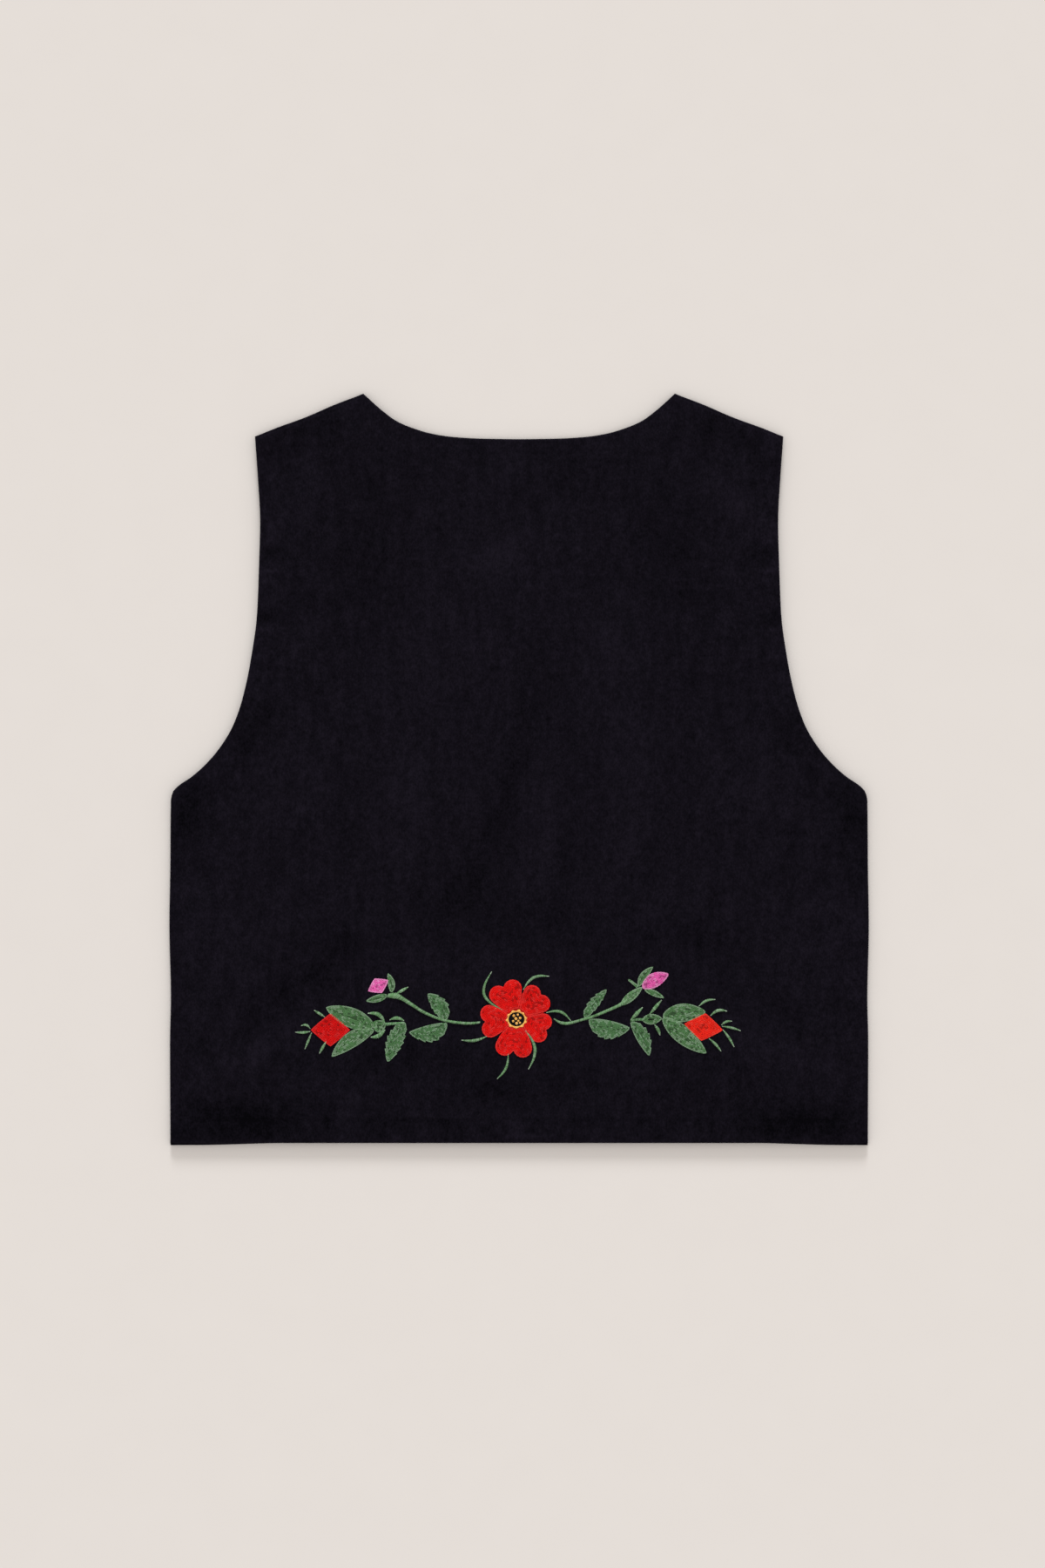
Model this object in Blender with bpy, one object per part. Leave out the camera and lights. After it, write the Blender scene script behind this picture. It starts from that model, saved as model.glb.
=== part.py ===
"""Short sleeveless vest in black velvet, laid flat on its fronts, back up.

The garment is cut from three pieces: one back and two fronts, sewn together at
the side seams and at the shoulders.  The fronts lie on the table and the back
lies on them.  Both layers are cloth walls, doubled where the hem, the armholes
and the neck edge are turned in.  Across the lower back runs a spray of satin
and chain stitch: a round flower with six tendrils, and on each side a stem
with leaves, a pink bud and a large red bud.  Each embroidered motif is a thin
raised patch made from the back panel's own surface, moved out.

Frame: X across the back, +Y towards the neck, +Z up out of the table.  All
tables are in millimetres, measured from the centre line and up from the hem.
"""
import math

import bmesh
import bpy
import numpy as np
from mathutils import Vector
from mathutils.geometry import delaunay_2d_cdt

for old in list(bpy.data.objects):
    bpy.data.objects.remove(old, do_unlink=True)

MM = 0.001

# ------------------------------------------------------------ driving sizes
NECK_POINT = (107.4, 516.4)      # where the shoulder seam meets the neck edge
SHOULDER_TIP = (182.1, 486.8)    # outer end of the shoulder seam
CLOTH = 1.5                      # velvet with its lining
BAND = 2.2                       # the same, doubled where it is turned in
HEM_BAND = 15.6                  # depth of the turned-in hem
BAND_STEP = 2.4                  # how gradually the doubled band ends
GAP = 0.3                        # air between pieces
LIFT = 0.4                       # air under an embroidered patch
THREAD = 0.9                     # height of the embroidery
FRONT_GAP = 2.0                  # between the two front edges
V_POINT = 307.0                  # where the V of the fronts ends, above the hem
HEM_PEEK = 1.6                   # the fronts show this much below the back
LEVEL = BAND + GAP               # underside of the back where it is doubled
SAG = 1.5                        # how far the back settles into the front V
BOX_MIDDLE = (516.4 - HEM_PEEK) / 2.0

# Half width of the body, a row for each section from the hem to the shoulder.
SECTIONS = (
    # above_hem, half_width
    (0.0, 240.4),
    (70.0, 240.7),
    (100.0, 240.1),
    (150.0, 241.1),
    (190.0, 240.5),
    (235.0, 240.1),
    (241.5, 238.9),
    (246.0, 235.0),
    (252.0, 226.2),
    (260.0, 217.0),
    (272.0, 206.6),
    (288.0, 197.0),
    (308.0, 190.2),
    (335.0, 184.6),
    (365.0, 180.6),
    (400.0, 179.2),
    (428.0, 178.5),
    (458.0, 180.0),
    (486.8, 182.1),
)
UNDERARM = 236.0

# Back neck edge: how far it lies below the neck point.
NECK = (
    # from_centre, drop
    (0.0, 31.3),
    (26.0, 30.9),
    (46.0, 29.7),
    (60.0, 27.6),
    (72.0, 24.2),
    (84.0, 19.2),
    (95.0, 11.2),
    (107.4, 0.0),
)

# The largest soft folds of the laid-out back: troughs are negative.
FOLDS = (
    # x0, y0, x1, y1, half_width, height
    (-176.0, 424.0, -132.0, 462.0, 15.0, 1.3),
    (176.0, 424.0, 132.0, 462.0, 15.0, 1.2),
    (15.0, 336.0, 0.0, 262.0, 26.0, -0.5),
    (0.0, 262.0, -52.0, 142.0, 26.0, -0.6),
    (-80.0, 322.0, -78.0, 150.0, 24.0, 1.0),
    (78.0, 318.0, 76.0, 145.0, 24.0, 0.9),
    (-111.0, 428.0, -108.0, 285.0, 22.0, -0.5),
    (112.0, 426.0, 110.0, 290.0, 22.0, -0.5),
    (-206.0, 66.0, -118.0, 134.0, 20.0, -0.7),
    (-222.0, 40.0, -150.0, 74.0, 18.0, 1.0),
    (183.0, 96.0, 204.0, 60.0, 16.0, -0.6),
    (150.0, 58.0, 226.0, 56.0, 16.0, 0.8),
)


# ------------------------------------------------------------ plain geometry
def smooth_table(rows, at):
    """Read a table at a value, through a monotone cubic between its rows."""
    xs = np.array([r[0] for r in rows], float)
    ys = np.array([r[1] for r in rows], float)
    step = np.diff(xs)
    slope = np.diff(ys) / step
    tangent = np.zeros(len(xs))
    tangent[0], tangent[-1] = slope[0], slope[-1]
    for i in range(1, len(xs) - 1):
        if slope[i - 1] * slope[i] > 0:
            w0 = 2 * step[i] + step[i - 1]
            w1 = step[i] + 2 * step[i - 1]
            tangent[i] = (w0 + w1) / (w0 / slope[i - 1] + w1 / slope[i])
    at = np.clip(np.asarray(at, float), xs[0], xs[-1])
    i = np.clip(np.searchsorted(xs, at, side="right") - 1, 0, len(xs) - 2)
    h = step[i]
    t = (at - xs[i]) / h
    return ((2 * t ** 3 - 3 * t ** 2 + 1) * ys[i]
            + (t ** 3 - 2 * t ** 2 + t) * h * tangent[i]
            + (-2 * t ** 3 + 3 * t ** 2) * ys[i + 1]
            + (t ** 3 - t ** 2) * h * tangent[i + 1])


def ease(value, low, high):
    """0 below low, 1 above high, smooth between."""
    t = np.clip((np.asarray(value, float) - low) / (high - low), 0.0, 1.0)
    return t * t * (3 - 2 * t)


def segment_distance(points, a, b):
    """Distance from points to the segment a-b, and the share along it."""
    p = np.asarray(points, float)
    a, b = np.asarray(a, float), np.asarray(b, float)
    d = b - a
    t = np.clip(((p - a) @ d) / max(d @ d, 1e-12), 0.0, 1.0)
    return np.linalg.norm(p - (a + t[:, None] * d), axis=1), t


def line_distance(points, line):
    """Distance from points to a polyline."""
    best = np.full(len(points), 1e9)
    for a, b in zip(line[:-1], line[1:]):
        best = np.minimum(best, segment_distance(points, a, b)[0])
    return best


def inset(loop, amount):
    """The closed loop moved inward, without the points that would cross."""
    loop = np.asarray(loop, float)
    before = loop - np.roll(loop, 1, axis=0)
    after = np.roll(loop, -1, axis=0) - loop
    normal = []
    for e, f in zip(before, after):
        n0 = np.array((-e[1], e[0])) / np.linalg.norm(e)
        n1 = np.array((-f[1], f[0])) / np.linalg.norm(f)
        n = n0 + n1
        normal.append(n / max(0.35, (n @ n) / 2.0))
    moved = loop + np.array(normal) * amount
    closed = np.vstack([loop, loop[:1]])
    keep = line_distance(moved, closed) > amount * 0.985 - 0.02
    return moved[keep]


def spaced(a, b, pitch):
    """Values from a to b, evenly spaced near the pitch, without b."""
    n = max(1, int(round(abs(b - a) / pitch)))
    return [a + (b - a) * i / n for i in range(n)]


# ------------------------------------------------------------ the cut
def side_edge(pitch):
    """Right side seam, from the hem up to the underarm."""
    return [(float(smooth_table(SECTIONS, y)), y)
            for y in spaced(0.0, UNDERARM, pitch)]


def armhole_edge():
    """Right armhole, from the underarm up to the shoulder tip."""
    levels = [UNDERARM]
    for row, following in zip(SECTIONS[:-1], SECTIONS[1:]):
        if row[0] > UNDERARM:
            levels.append(row[0])
            if following[0] - row[0] > 18.0:
                levels.append((row[0] + following[0]) / 2.0)
    return [(float(smooth_table(SECTIONS, y)), y) for y in levels]


def shoulder_edge(pitch):
    """Right shoulder seam, from its tip to the neck point."""
    length = math.dist(SHOULDER_TIP, NECK_POINT)
    return [(SHOULDER_TIP[0] + (NECK_POINT[0] - SHOULDER_TIP[0]) * t,
             SHOULDER_TIP[1] + (NECK_POINT[1] - SHOULDER_TIP[1]) * t)
            for t in (s / length for s in spaced(0.0, length, pitch))]


def back_neck_edge(pitch):
    """Back neck, from the right neck point to the centre."""
    return [(x, NECK_POINT[1] - float(smooth_table(NECK, x)))
            for x in spaced(NECK_POINT[0], 0.0, pitch)]


def front_neck_edge(pitch):
    """The V of the fronts, from the neck point down to the centre edge."""
    end = (FRONT_GAP / 2.0, V_POINT)
    rows = []
    for s in spaced(0.0, math.dist(NECK_POINT, end), pitch):
        t = s / math.dist(NECK_POINT, end)
        bow = 5.0 * math.sin(math.pi * t)
        rows.append((NECK_POINT[0] + (end[0] - NECK_POINT[0]) * t - 0.4 * bow,
                     NECK_POINT[1] + (end[1] - NECK_POINT[1]) * t - 0.2 * bow))
    return rows


def mirrored(line):
    return [(-x, y) for x, y in line]


def back_cut(pitch):
    """The back panel: its outline, its seamed runs and its free edges."""
    hem = [(x, 0.0) for x in spaced(0.0, SECTIONS[0][1], pitch)]
    side, arm = side_edge(pitch), armhole_edge()
    shoulder = shoulder_edge(pitch * 0.8)
    neck = back_neck_edge(pitch * 0.62)
    right = hem + side + arm + shoulder + neck
    crown = [(0.0, NECK_POINT[1] - NECK[0][1])]
    left = mirrored(right[1:])[::-1]
    under = [(float(smooth_table(SECTIONS, UNDERARM)), UNDERARM)]
    seam_side = side + under
    seam_shoulder = shoulder + [NECK_POINT]
    free_arm = arm + [SHOULDER_TIP]
    free_neck = neck + crown
    free_hem = hem + [(SECTIONS[0][1], 0.0)]
    seams = [seam_side, seam_shoulder]
    free = [free_hem, free_arm, free_neck]
    return (right + crown + left,
            seams + [mirrored(s) for s in seams],
            free + [mirrored(f) for f in free])


def front_cut(pitch):
    """The right front: its outline, its seamed runs and its free edges."""
    peek = [(x, -HEM_PEEK * float(ease(x, 150.0, 225.0)))
            for x in spaced(FRONT_GAP / 2.0, SECTIONS[0][1], pitch)]
    side, arm = side_edge(pitch), armhole_edge()
    side = [(side[0][0], -HEM_PEEK)] + side[1:]
    shoulder = shoulder_edge(pitch * 0.8)
    neck = front_neck_edge(pitch * 0.9)
    edge = [(FRONT_GAP / 2.0, y) for y in spaced(V_POINT, 0.0, pitch)]
    under = [(float(smooth_table(SECTIONS, UNDERARM)), UNDERARM)]
    seams = [side + under, shoulder + [NECK_POINT]]
    free = [peek + side[:1], arm + [SHOULDER_TIP], neck + edge[:1],
            edge + peek[:1]]
    return peek + side + arm + shoulder + neck + edge, seams, free


# ------------------------------------------------------------ heights
def fold_height(points):
    """Soft folds of the laid-out cloth, from the table of folds."""
    total = np.zeros(len(points))
    for x0, y0, x1, y1, half, height in FOLDS:
        dist, t = segment_distance(points, (x0, y0), (x1, y1))
        total += height * np.exp(-(dist / half) ** 2) * (
            0.35 + 0.65 * np.sin(np.pi * np.clip(t, 0.0, 1.0)))
    return total


def edge_distances(points, seams, free):
    seam = np.min([line_distance(points, s) for s in seams], axis=0)
    edge = np.min([line_distance(points, f) for f in free], axis=0)
    return seam, edge


def band_share(seam, edge):
    """1 on the doubled bands, 0 in the single cloth."""
    near = np.minimum(seam, edge)
    return 1.0 - ease(near, HEM_BAND - 0.4, HEM_BAND + BAND_STEP - 0.4)


def settle(points):
    """How far the back sinks where no front lies under it."""
    inside = np.asarray(points, float)
    reach = V_POINT + (np.abs(inside[:, 0]) / NECK_POINT[0]) * (
        NECK_POINT[1] - V_POINT)
    return -SAG * ease(inside[:, 1] - reach, 22.0, 90.0)


def back_heights(points, seams, free):
    """Underside and outer face of the back panel."""
    seam, edge = edge_distances(points, seams, free)
    band = band_share(seam, edge)
    calm = ease(np.minimum(seam, edge), 6.0, 30.0)
    rise = fold_height(points) * calm + settle(points)
    roll = np.maximum(1.1 * (1 - ease(seam, 0.0, 3.5)),
                      0.45 * (1 - ease(edge, 0.0, 1.4)))
    tuck = np.where(seam < edge, 0.0, 0.45) * (1 - ease(edge, 0.0, 1.4))
    top = LEVEL + BAND + rise - roll
    low = top + roll - (CLOTH + (BAND - CLOTH) * band) + tuck
    return low, top


def front_heights(points, seams, free):
    """Underside on the table and inner face of a front."""
    seam, edge = edge_distances(points, seams, free)
    band = band_share(seam, edge)
    roll = np.maximum(0.9 * (1 - ease(seam, 0.0, 3.5)),
                      0.45 * (1 - ease(edge, 0.0, 1.4)))
    low = roll
    top = (CLOTH + (BAND - CLOTH) * band
           - 0.45 * (1 - ease(edge, 0.0, 1.4)))
    return low, top


# ------------------------------------------------------------ solids
def srgb(red, green, blue):
    """Display colour as linear light."""
    out = []
    for c in (red, green, blue):
        c /= 255.0
        out.append(c / 12.92 if c <= 0.04045 else ((c + 0.055) / 1.055) ** 2.4)
    return (*out, 1.0)


def material(name, colour, roughness, sheen=0.0):
    mat = bpy.data.materials.new(name)
    mat.use_nodes = True
    node = mat.node_tree.nodes["Principled BSDF"]
    node.inputs["Base Color"].default_value = colour
    node.inputs["Roughness"].default_value = roughness
    node.inputs["Metallic"].default_value = 0.0
    node.inputs["Sheen Weight"].default_value = sheen
    mat.diffuse_color = colour
    return mat


def triangulate(loop, rings, inner):
    """Flat triangles inside the loop, through the rings and inner points."""
    coords = [Vector((float(x), float(y))) for x, y in loop]
    edges = []
    for ring in rings:
        start = len(coords)
        coords += [Vector((float(x), float(y))) for x, y in ring]
        count = len(ring)
        edges += [(start + i, start + (i + 1) % count) for i in range(count)]
    coords += [Vector((float(x), float(y))) for x, y in inner]
    verts, _, faces, _, _, _ = delaunay_2d_cdt(
        coords, edges, [list(range(len(loop)))], 1, 1e-5)
    flat = np.array([(v.x, v.y) for v in verts])
    tris = []
    for face in faces:
        for i in range(1, len(face) - 1):
            a, b, c = face[0], face[i], face[i + 1]
            area = np.cross(flat[b] - flat[a], flat[c] - flat[a])
            if abs(area) > 1e-6:
                tris.append((a, b, c) if area > 0 else (a, c, b))
    return flat, tris


def closed_sheet(name, flat, tris, low, top, mat):
    """Closed body between an underside and an outer face on one plan."""
    used = sorted({i for tri in tris for i in tri})
    order = {old: new for new, old in enumerate(used)}
    mesh = bpy.data.meshes.new(name)
    bm = bmesh.new()
    up = [bm.verts.new((flat[i][0] * MM, (flat[i][1] - BOX_MIDDLE) * MM,
                        top[i] * MM)) for i in used]
    down = [bm.verts.new((flat[i][0] * MM, (flat[i][1] - BOX_MIDDLE) * MM,
                          low[i] * MM)) for i in used]
    count = {}
    for tri in tris:
        a, b, c = (order[i] for i in tri)
        bm.faces.new((up[a], up[b], up[c]))
        bm.faces.new((down[c], down[b], down[a]))
        for p, q in ((a, b), (b, c), (c, a)):
            count[(p, q)] = count.get((p, q), 0) + 1
    for p, q in list(count):
        if (q, p) not in count:
            bm.faces.new((down[p], down[q], up[q]))
            bm.faces.new((down[p], up[q], up[p]))
    bm.to_mesh(mesh)
    bm.free()
    mesh.materials.append(mat)
    ob = bpy.data.objects.new(name, mesh)
    bpy.context.scene.collection.objects.link(ob)
    return ob


def grid_inside(loop, clear, pitch):
    """Staggered points inside the loop, clear of it."""
    loop = np.asarray(loop, float)
    closed = np.vstack([loop, loop[:1]])
    points = []
    rows = int((loop[:, 1].max() - loop[:, 1].min()) / (pitch * 0.87)) + 1
    for r in range(rows):
        y = loop[:, 1].min() + (r + 0.5) * pitch * 0.87
        for c in range(-20, 21):
            points.append(((c + 0.5 * (r % 2)) * pitch, y))
    points = np.array(points)
    turn = np.zeros(len(points))
    for (x0, y0), (x1, y1) in zip(closed[:-1], closed[1:]):
        a = np.arctan2(y0 - points[:, 1], x0 - points[:, 0])
        b = np.arctan2(y1 - points[:, 1], x1 - points[:, 0])
        turn += (b - a + np.pi) % (2 * np.pi) - np.pi
    within = np.abs(turn) > np.pi
    return points[within & (line_distance(points, closed) > clear)]


def cloth_panel(name, cut, heights, mat, pitch=24.0, mirror=False):
    loop, seams, free = cut(pitch)
    rings = [inset(loop, s) for s in
             (1.4, 3.5, HEM_BAND - 0.4, HEM_BAND + BAND_STEP - 0.4)]
    inner = grid_inside(loop, HEM_BAND + BAND_STEP + 9.0, pitch * 1.22)
    flat, tris = triangulate(loop, rings, inner)
    low, top = heights(flat, seams, free)
    if mirror:
        flat = flat * np.array((-1.0, 1.0))
        tris = [(a, c, b) for a, b, c in tris]
    ob = closed_sheet(name, flat, tris, low, top, mat)
    return ob, flat, tris, top


velvet = material("black_velvet", srgb(21, 18, 25), 0.92, 0.4)
back, back_flat, back_tris, back_top = cloth_panel(
    "back_panel", back_cut, back_heights, velvet)
cloth_panel("front_right", front_cut, front_heights, velvet)
cloth_panel("front_left", front_cut, front_heights, velvet, mirror=True)


# ------------------------------------------------------------ embroidery
TRI_POINTS = np.array([[back_flat[i] for i in tri] for tri in back_tris])
TRI_HEIGHTS = np.array([[back_top[i] for i in tri] for tri in back_tris])


def outer_face(points):
    """Height of the back panel's outer face under each point."""
    a, b, c = TRI_POINTS[:, 0], TRI_POINTS[:, 1], TRI_POINTS[:, 2]
    whole = np.cross(b - a, c - a)
    out = []
    for p in np.asarray(points, float):
        wa = np.cross(b - p, c - p) / whole
        wb = np.cross(c - p, a - p) / whole
        wc = 1.0 - wa - wb
        i = int(np.argmax(np.minimum(np.minimum(wa, wb), wc)))
        out.append(wa[i] * TRI_HEIGHTS[i, 0] + wb[i] * TRI_HEIGHTS[i, 1]
                   + wc[i] * TRI_HEIGHTS[i, 2])
    return np.array(out)


def patch(name, loop, mat, lift=LIFT, thick=THREAD, shoulder=0.9):
    """Embroidered patch: the panel's own surface under it, moved out."""
    loop = np.asarray(loop, float)
    area = np.sum(loop[:, 0] * np.roll(loop[:, 1], -1)
                  - loop[:, 1] * np.roll(loop[:, 0], -1))
    if area < 0:
        loop = loop[::-1]
    ring = inset(loop, shoulder) if shoulder else []
    flat, tris = triangulate(loop, [ring] if len(ring) > 3 else [], [])
    rise = outer_face(flat)
    closed = np.vstack([loop, loop[:1]])
    crown = ease(line_distance(flat, closed), 0.0, shoulder) if shoulder else 0.5
    low = rise + lift
    top = low + thick * (0.55 + 0.45 * crown)
    return closed_sheet(name, flat, tris, low, top, mat)


def strip(route, start=0.0, stop=1.0):
    """Satin strip along a smooth route, from one share of it to another."""
    rows = np.asarray(route, float)
    ext = np.vstack([2 * rows[0] - rows[1], rows, 2 * rows[-1] - rows[-2]])
    fine = []
    for i in range(len(rows) - 1):
        a, b, c, d = ext[i:i + 4]
        for k in range(12):
            t = k / 12
            fine.append(0.5 * (2 * b + (c - a) * t
                               + (2 * a - 5 * b + 4 * c - d) * t * t
                               + (3 * b - a - 3 * c + d) * t ** 3))
    fine = np.array(fine + [rows[-1]])
    run = np.concatenate([[0], np.cumsum(
        np.linalg.norm(np.diff(fine[:, :2], axis=0), axis=1))])
    at = np.linspace(start, stop, len(rows) + 2) * run[-1]
    mid = np.column_stack([np.interp(at, run, fine[:, i]) for i in range(3)])
    way = np.gradient(mid[:, :2], axis=0)
    way /= np.linalg.norm(way, axis=1)[:, None]
    side = np.stack([-way[:, 1], way[:, 0]], 1)
    half = np.maximum(mid[:, 2:3] / 2.0, 0.25)
    return list(map(tuple, np.vstack([mid[:, :2] - side * half,
                                      (mid[:, :2] + side * half)[::-1]])))


def blade(share, full):
    """Half width of a leaf, sepal or leaf-shaped bud, from base to tip."""
    share = np.asarray(share, float)
    swell = np.clip(np.sin(np.pi * share ** 0.9), 0.0, None) ** 0.7
    return full * swell + 0.4 * (1.0 - share)


def leaf(base, tip, left, right, start=0.0, steps=8, clear=0.3):
    """Leaf between base and tip, with its full half width on each side."""
    base, tip = np.asarray(base, float), np.asarray(tip, float)
    axis = tip - base
    side = np.array((-axis[1], axis[0])) / np.linalg.norm(axis)
    t = start + (1.0 - start) * (1 - np.cos(np.linspace(0, np.pi, steps))) / 2
    loop = np.vstack([base + t[:, None] * axis - blade(t, right)[:, None] * side,
                      (base + t[:, None] * axis
                       + blade(t, left)[:, None] * side)[::-1]])
    keep = np.linalg.norm(loop - np.roll(loop, 1, axis=0), axis=1) > 0.3
    return inset(loop[keep], clear)


def curl(base, tip, bow, width, ends=0.25):
    """Route of a small crescent: x, y and width, bowed to the left of its way."""
    base, tip = np.asarray(base, float), np.asarray(tip, float)
    way = tip - base
    side = np.array((-way[1], way[0])) / np.linalg.norm(way)
    route = []
    for t in np.linspace(0.0, 1.0, 5):
        swell = math.sin(math.pi * t)
        x, y = base + way * t + side * bow * swell
        route.append((x, y, width * (ends + (1.0 - ends) * swell)))
    return route


def diamond(centre, long, wide, tilt):
    """Corners of a bud, clockwise from its left, turned by tilt degrees."""
    c, s = math.cos(math.radians(tilt)), math.sin(math.radians(tilt))
    return [(centre[0] + x * c - y * s, centre[1] + x * s + y * c)
            for x, y in ((-long, 0.0), (0.0, wide), (long, 0.0), (0.0, -wide))]


def lobes(first, second, reach):
    """A petal's two equal lobes: bearing, distance out and radius of each."""
    radius, middle = LOBE * reach, (first + second) / 2.0
    return [(math.radians(middle + k * 0.21 * (second - first)),
             reach - radius, radius) for k in (-1.0, 1.0)]


def bud(corners, bows, steps=3, clear=0.3):
    """Bud from four corners, clockwise, each side bowed out by its bow."""
    out, c = [], np.asarray(corners, float)
    for i in range(4):
        a, b = c[i], c[(i + 1) % 4]
        way = (b - a) / np.linalg.norm(b - a)
        side = np.array((-way[1], way[0]))
        for k in range(steps):
            t = k / steps
            out.append(a + (b - a) * t + side * bows[i] * math.sin(math.pi * t))
    return inset(np.array(out)[::-1], clear)


FLOWER_CENTRE = (-1.6, 86.0)
SLIT = 13.5                      # how far out the slits between petals begin
LOBE = 0.24                      # radius of a lobe, as a share of the reach
# The five petals in turn, each from one slit to the next.
PETALS = (
    # bearing of its first slit, of its second, reach
    (-55.0, 12.0, 24.5),
    (12.0, 77.0, 26.0),
    (77.0, 149.0, 27.0),
    (149.0, 223.0, 25.5),
    (223.0, 305.0, 27.5),
)


def flower(centre, petals, steps=10, clear=0.25):
    """Outline of the flower: lobed petals with slits between them."""
    loop = []
    for first, second, reach in petals:
        angles = np.radians(np.linspace(first, second, steps))
        out = np.full(steps, np.nan)
        for bearing, far, radius in lobes(first, second, reach):
            off = (angles - bearing + np.pi) % (2 * np.pi) - np.pi
            part = radius ** 2 - (far * np.sin(off)) ** 2
            hit = (part > 0) & (np.abs(off) < np.pi / 2)
            edge = far * np.cos(off) + np.sqrt(np.clip(part, 0, None))
            out[hit] = np.fmax(out[hit], edge[hit])
        out[0] = out[-1] = SLIT
        known = ~np.isnan(out)
        out = np.interp(angles, angles[known], out[known])
        loop += [(centre[0] + r * math.cos(a), centre[1] + r * math.sin(a))
                 for a, r in zip(angles[:-1], out[:-1])]
    return inset(np.array(loop), clear)


red = material("thread_red", srgb(204, 28, 26), 0.5)
crimson = material("thread_crimson", srgb(189, 23, 25), 0.5)
vermilion = material("thread_vermilion", srgb(212, 48, 36), 0.5)
rose = material("thread_rose", srgb(208, 99, 163), 0.5)
mauve = material("thread_mauve", srgb(182, 88, 142), 0.5)
green = material("thread_green", srgb(72, 100, 68), 0.6)
sage = material("thread_sage", srgb(86, 104, 78), 0.6)
yellow = material("thread_yellow", srgb(238, 188, 62), 0.5)

patch("flower", flower(FLOWER_CENTRE, PETALS), red)
patch("flower_centre",
      [(FLOWER_CENTRE[0] + 7.2 * math.cos(a), FLOWER_CENTRE[1] + 7.2 * math.sin(a))
       for a in (2 * math.pi * i / 12 for i in range(12))],
      yellow, lift=LIFT + THREAD + GAP, thick=0.7)

# Satin strips: tendrils round the flower, stems, links and small bracts.
STEMS = (
    # name, first share, last share, route: (x, y, width), ...
    ("stem_left", 0.08, 0.97,
     ((-27.2, 83.2, 1.6), (-33.0, 82.6, 2.0), (-39.7, 82.8, 2.0),
      (-49.0, 84.1, 2.0), (-57.0, 86.4, 2.0), (-66.4, 90.6, 2.2),
      (-73.7, 95.3, 2.5), (-80.6, 99.6, 3.2), (-85.3, 101.6, 4.2),
      (-89.6, 101.8, 3.0))),
    ("stem_right", 0.05, 0.98,
     ((24.1, 85.6, 0.9), (28.1, 83.3, 1.9), (32.9, 82.5, 2.1),
      (38.3, 83.6, 1.9), (43.5, 85.1, 1.9), (50.3, 87.0, 2.0),
      (57.7, 90.0, 2.1), (66.7, 93.9, 2.3), (72.7, 97.2, 3.3),
      (77.6, 101.0, 5.0), (80.6, 103.5, 4.8), (83.3, 105.7, 2.2))),
    ("link_left", 0.0, 0.9,
     ((-81.0, 82.8, 1.4), (-86.5, 82.4, 1.6), (-92.0, 82.0, 1.8))),
    ("link_right", 0.0, 1.0,
     ((78.6, 85.0, 1.4), (81.5, 85.4, 1.6), (84.0, 85.2, 1.5))),
)
# Tendrils, hooks, bracts and small leaflets.
CURLS = (
    # name, first share, last share, base, tip, bow, width
    ("tendril_1", 0.30, 1.0, (-12.0, 92.0), (-19.0, 118.0), 9.0, 2.2),
    ("tendril_2", 0.16, 1.0, (3.0, 106.0), (20.5, 115.0), 4.0, 2.1),
    ("tendril_3", 0.16, 0.94, (19.0, 90.0), (35.5, 84.5), 3.5, 2.0),
    ("tendril_4", 0.46, 1.0, (4.5, 77.5), (6.5, 51.0), 5.5, 2.4),
    ("tendril_5", 0.14, 1.0, (-7.5, 61.5), (-15.0, 44.5), 2.5, 2.0),
    ("tendril_6", 0.14, 1.0, (-22.5, 73.5), (-39.5, 71.0), 1.5, 2.2),
    ("hook_left", 0.24, 1.0, (-92.5, 82.5), (-104.0, 89.5), -3.0, 2.8),
    ("tail_left", 0.24, 1.0, (-92.5, 78.0), (-102.0, 73.0), 1.5, 2.8),
    ("bract_left", 0.16, 1.0, (-79.5, 84.5), (-89.0, 85.0), -1.5, 2.2),
    ("bract_right", 0.22, 1.0, (77.0, 85.0), (85.0, 93.5), 0.0, 2.5),
    ("hook_right", 0.06, 1.0, (90.0, 89.0), (98.0, 98.5), 0.0, 2.2),
    ("tail_right", 0.06, 1.0, (93.5, 81.0), (97.0, 74.5), 0.5, 2.2),
    ("leaflet_pl", 0.14, 1.0, (-84.0, 104.0), (-76.5, 107.5), 0.0, 2.1),
)
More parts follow.
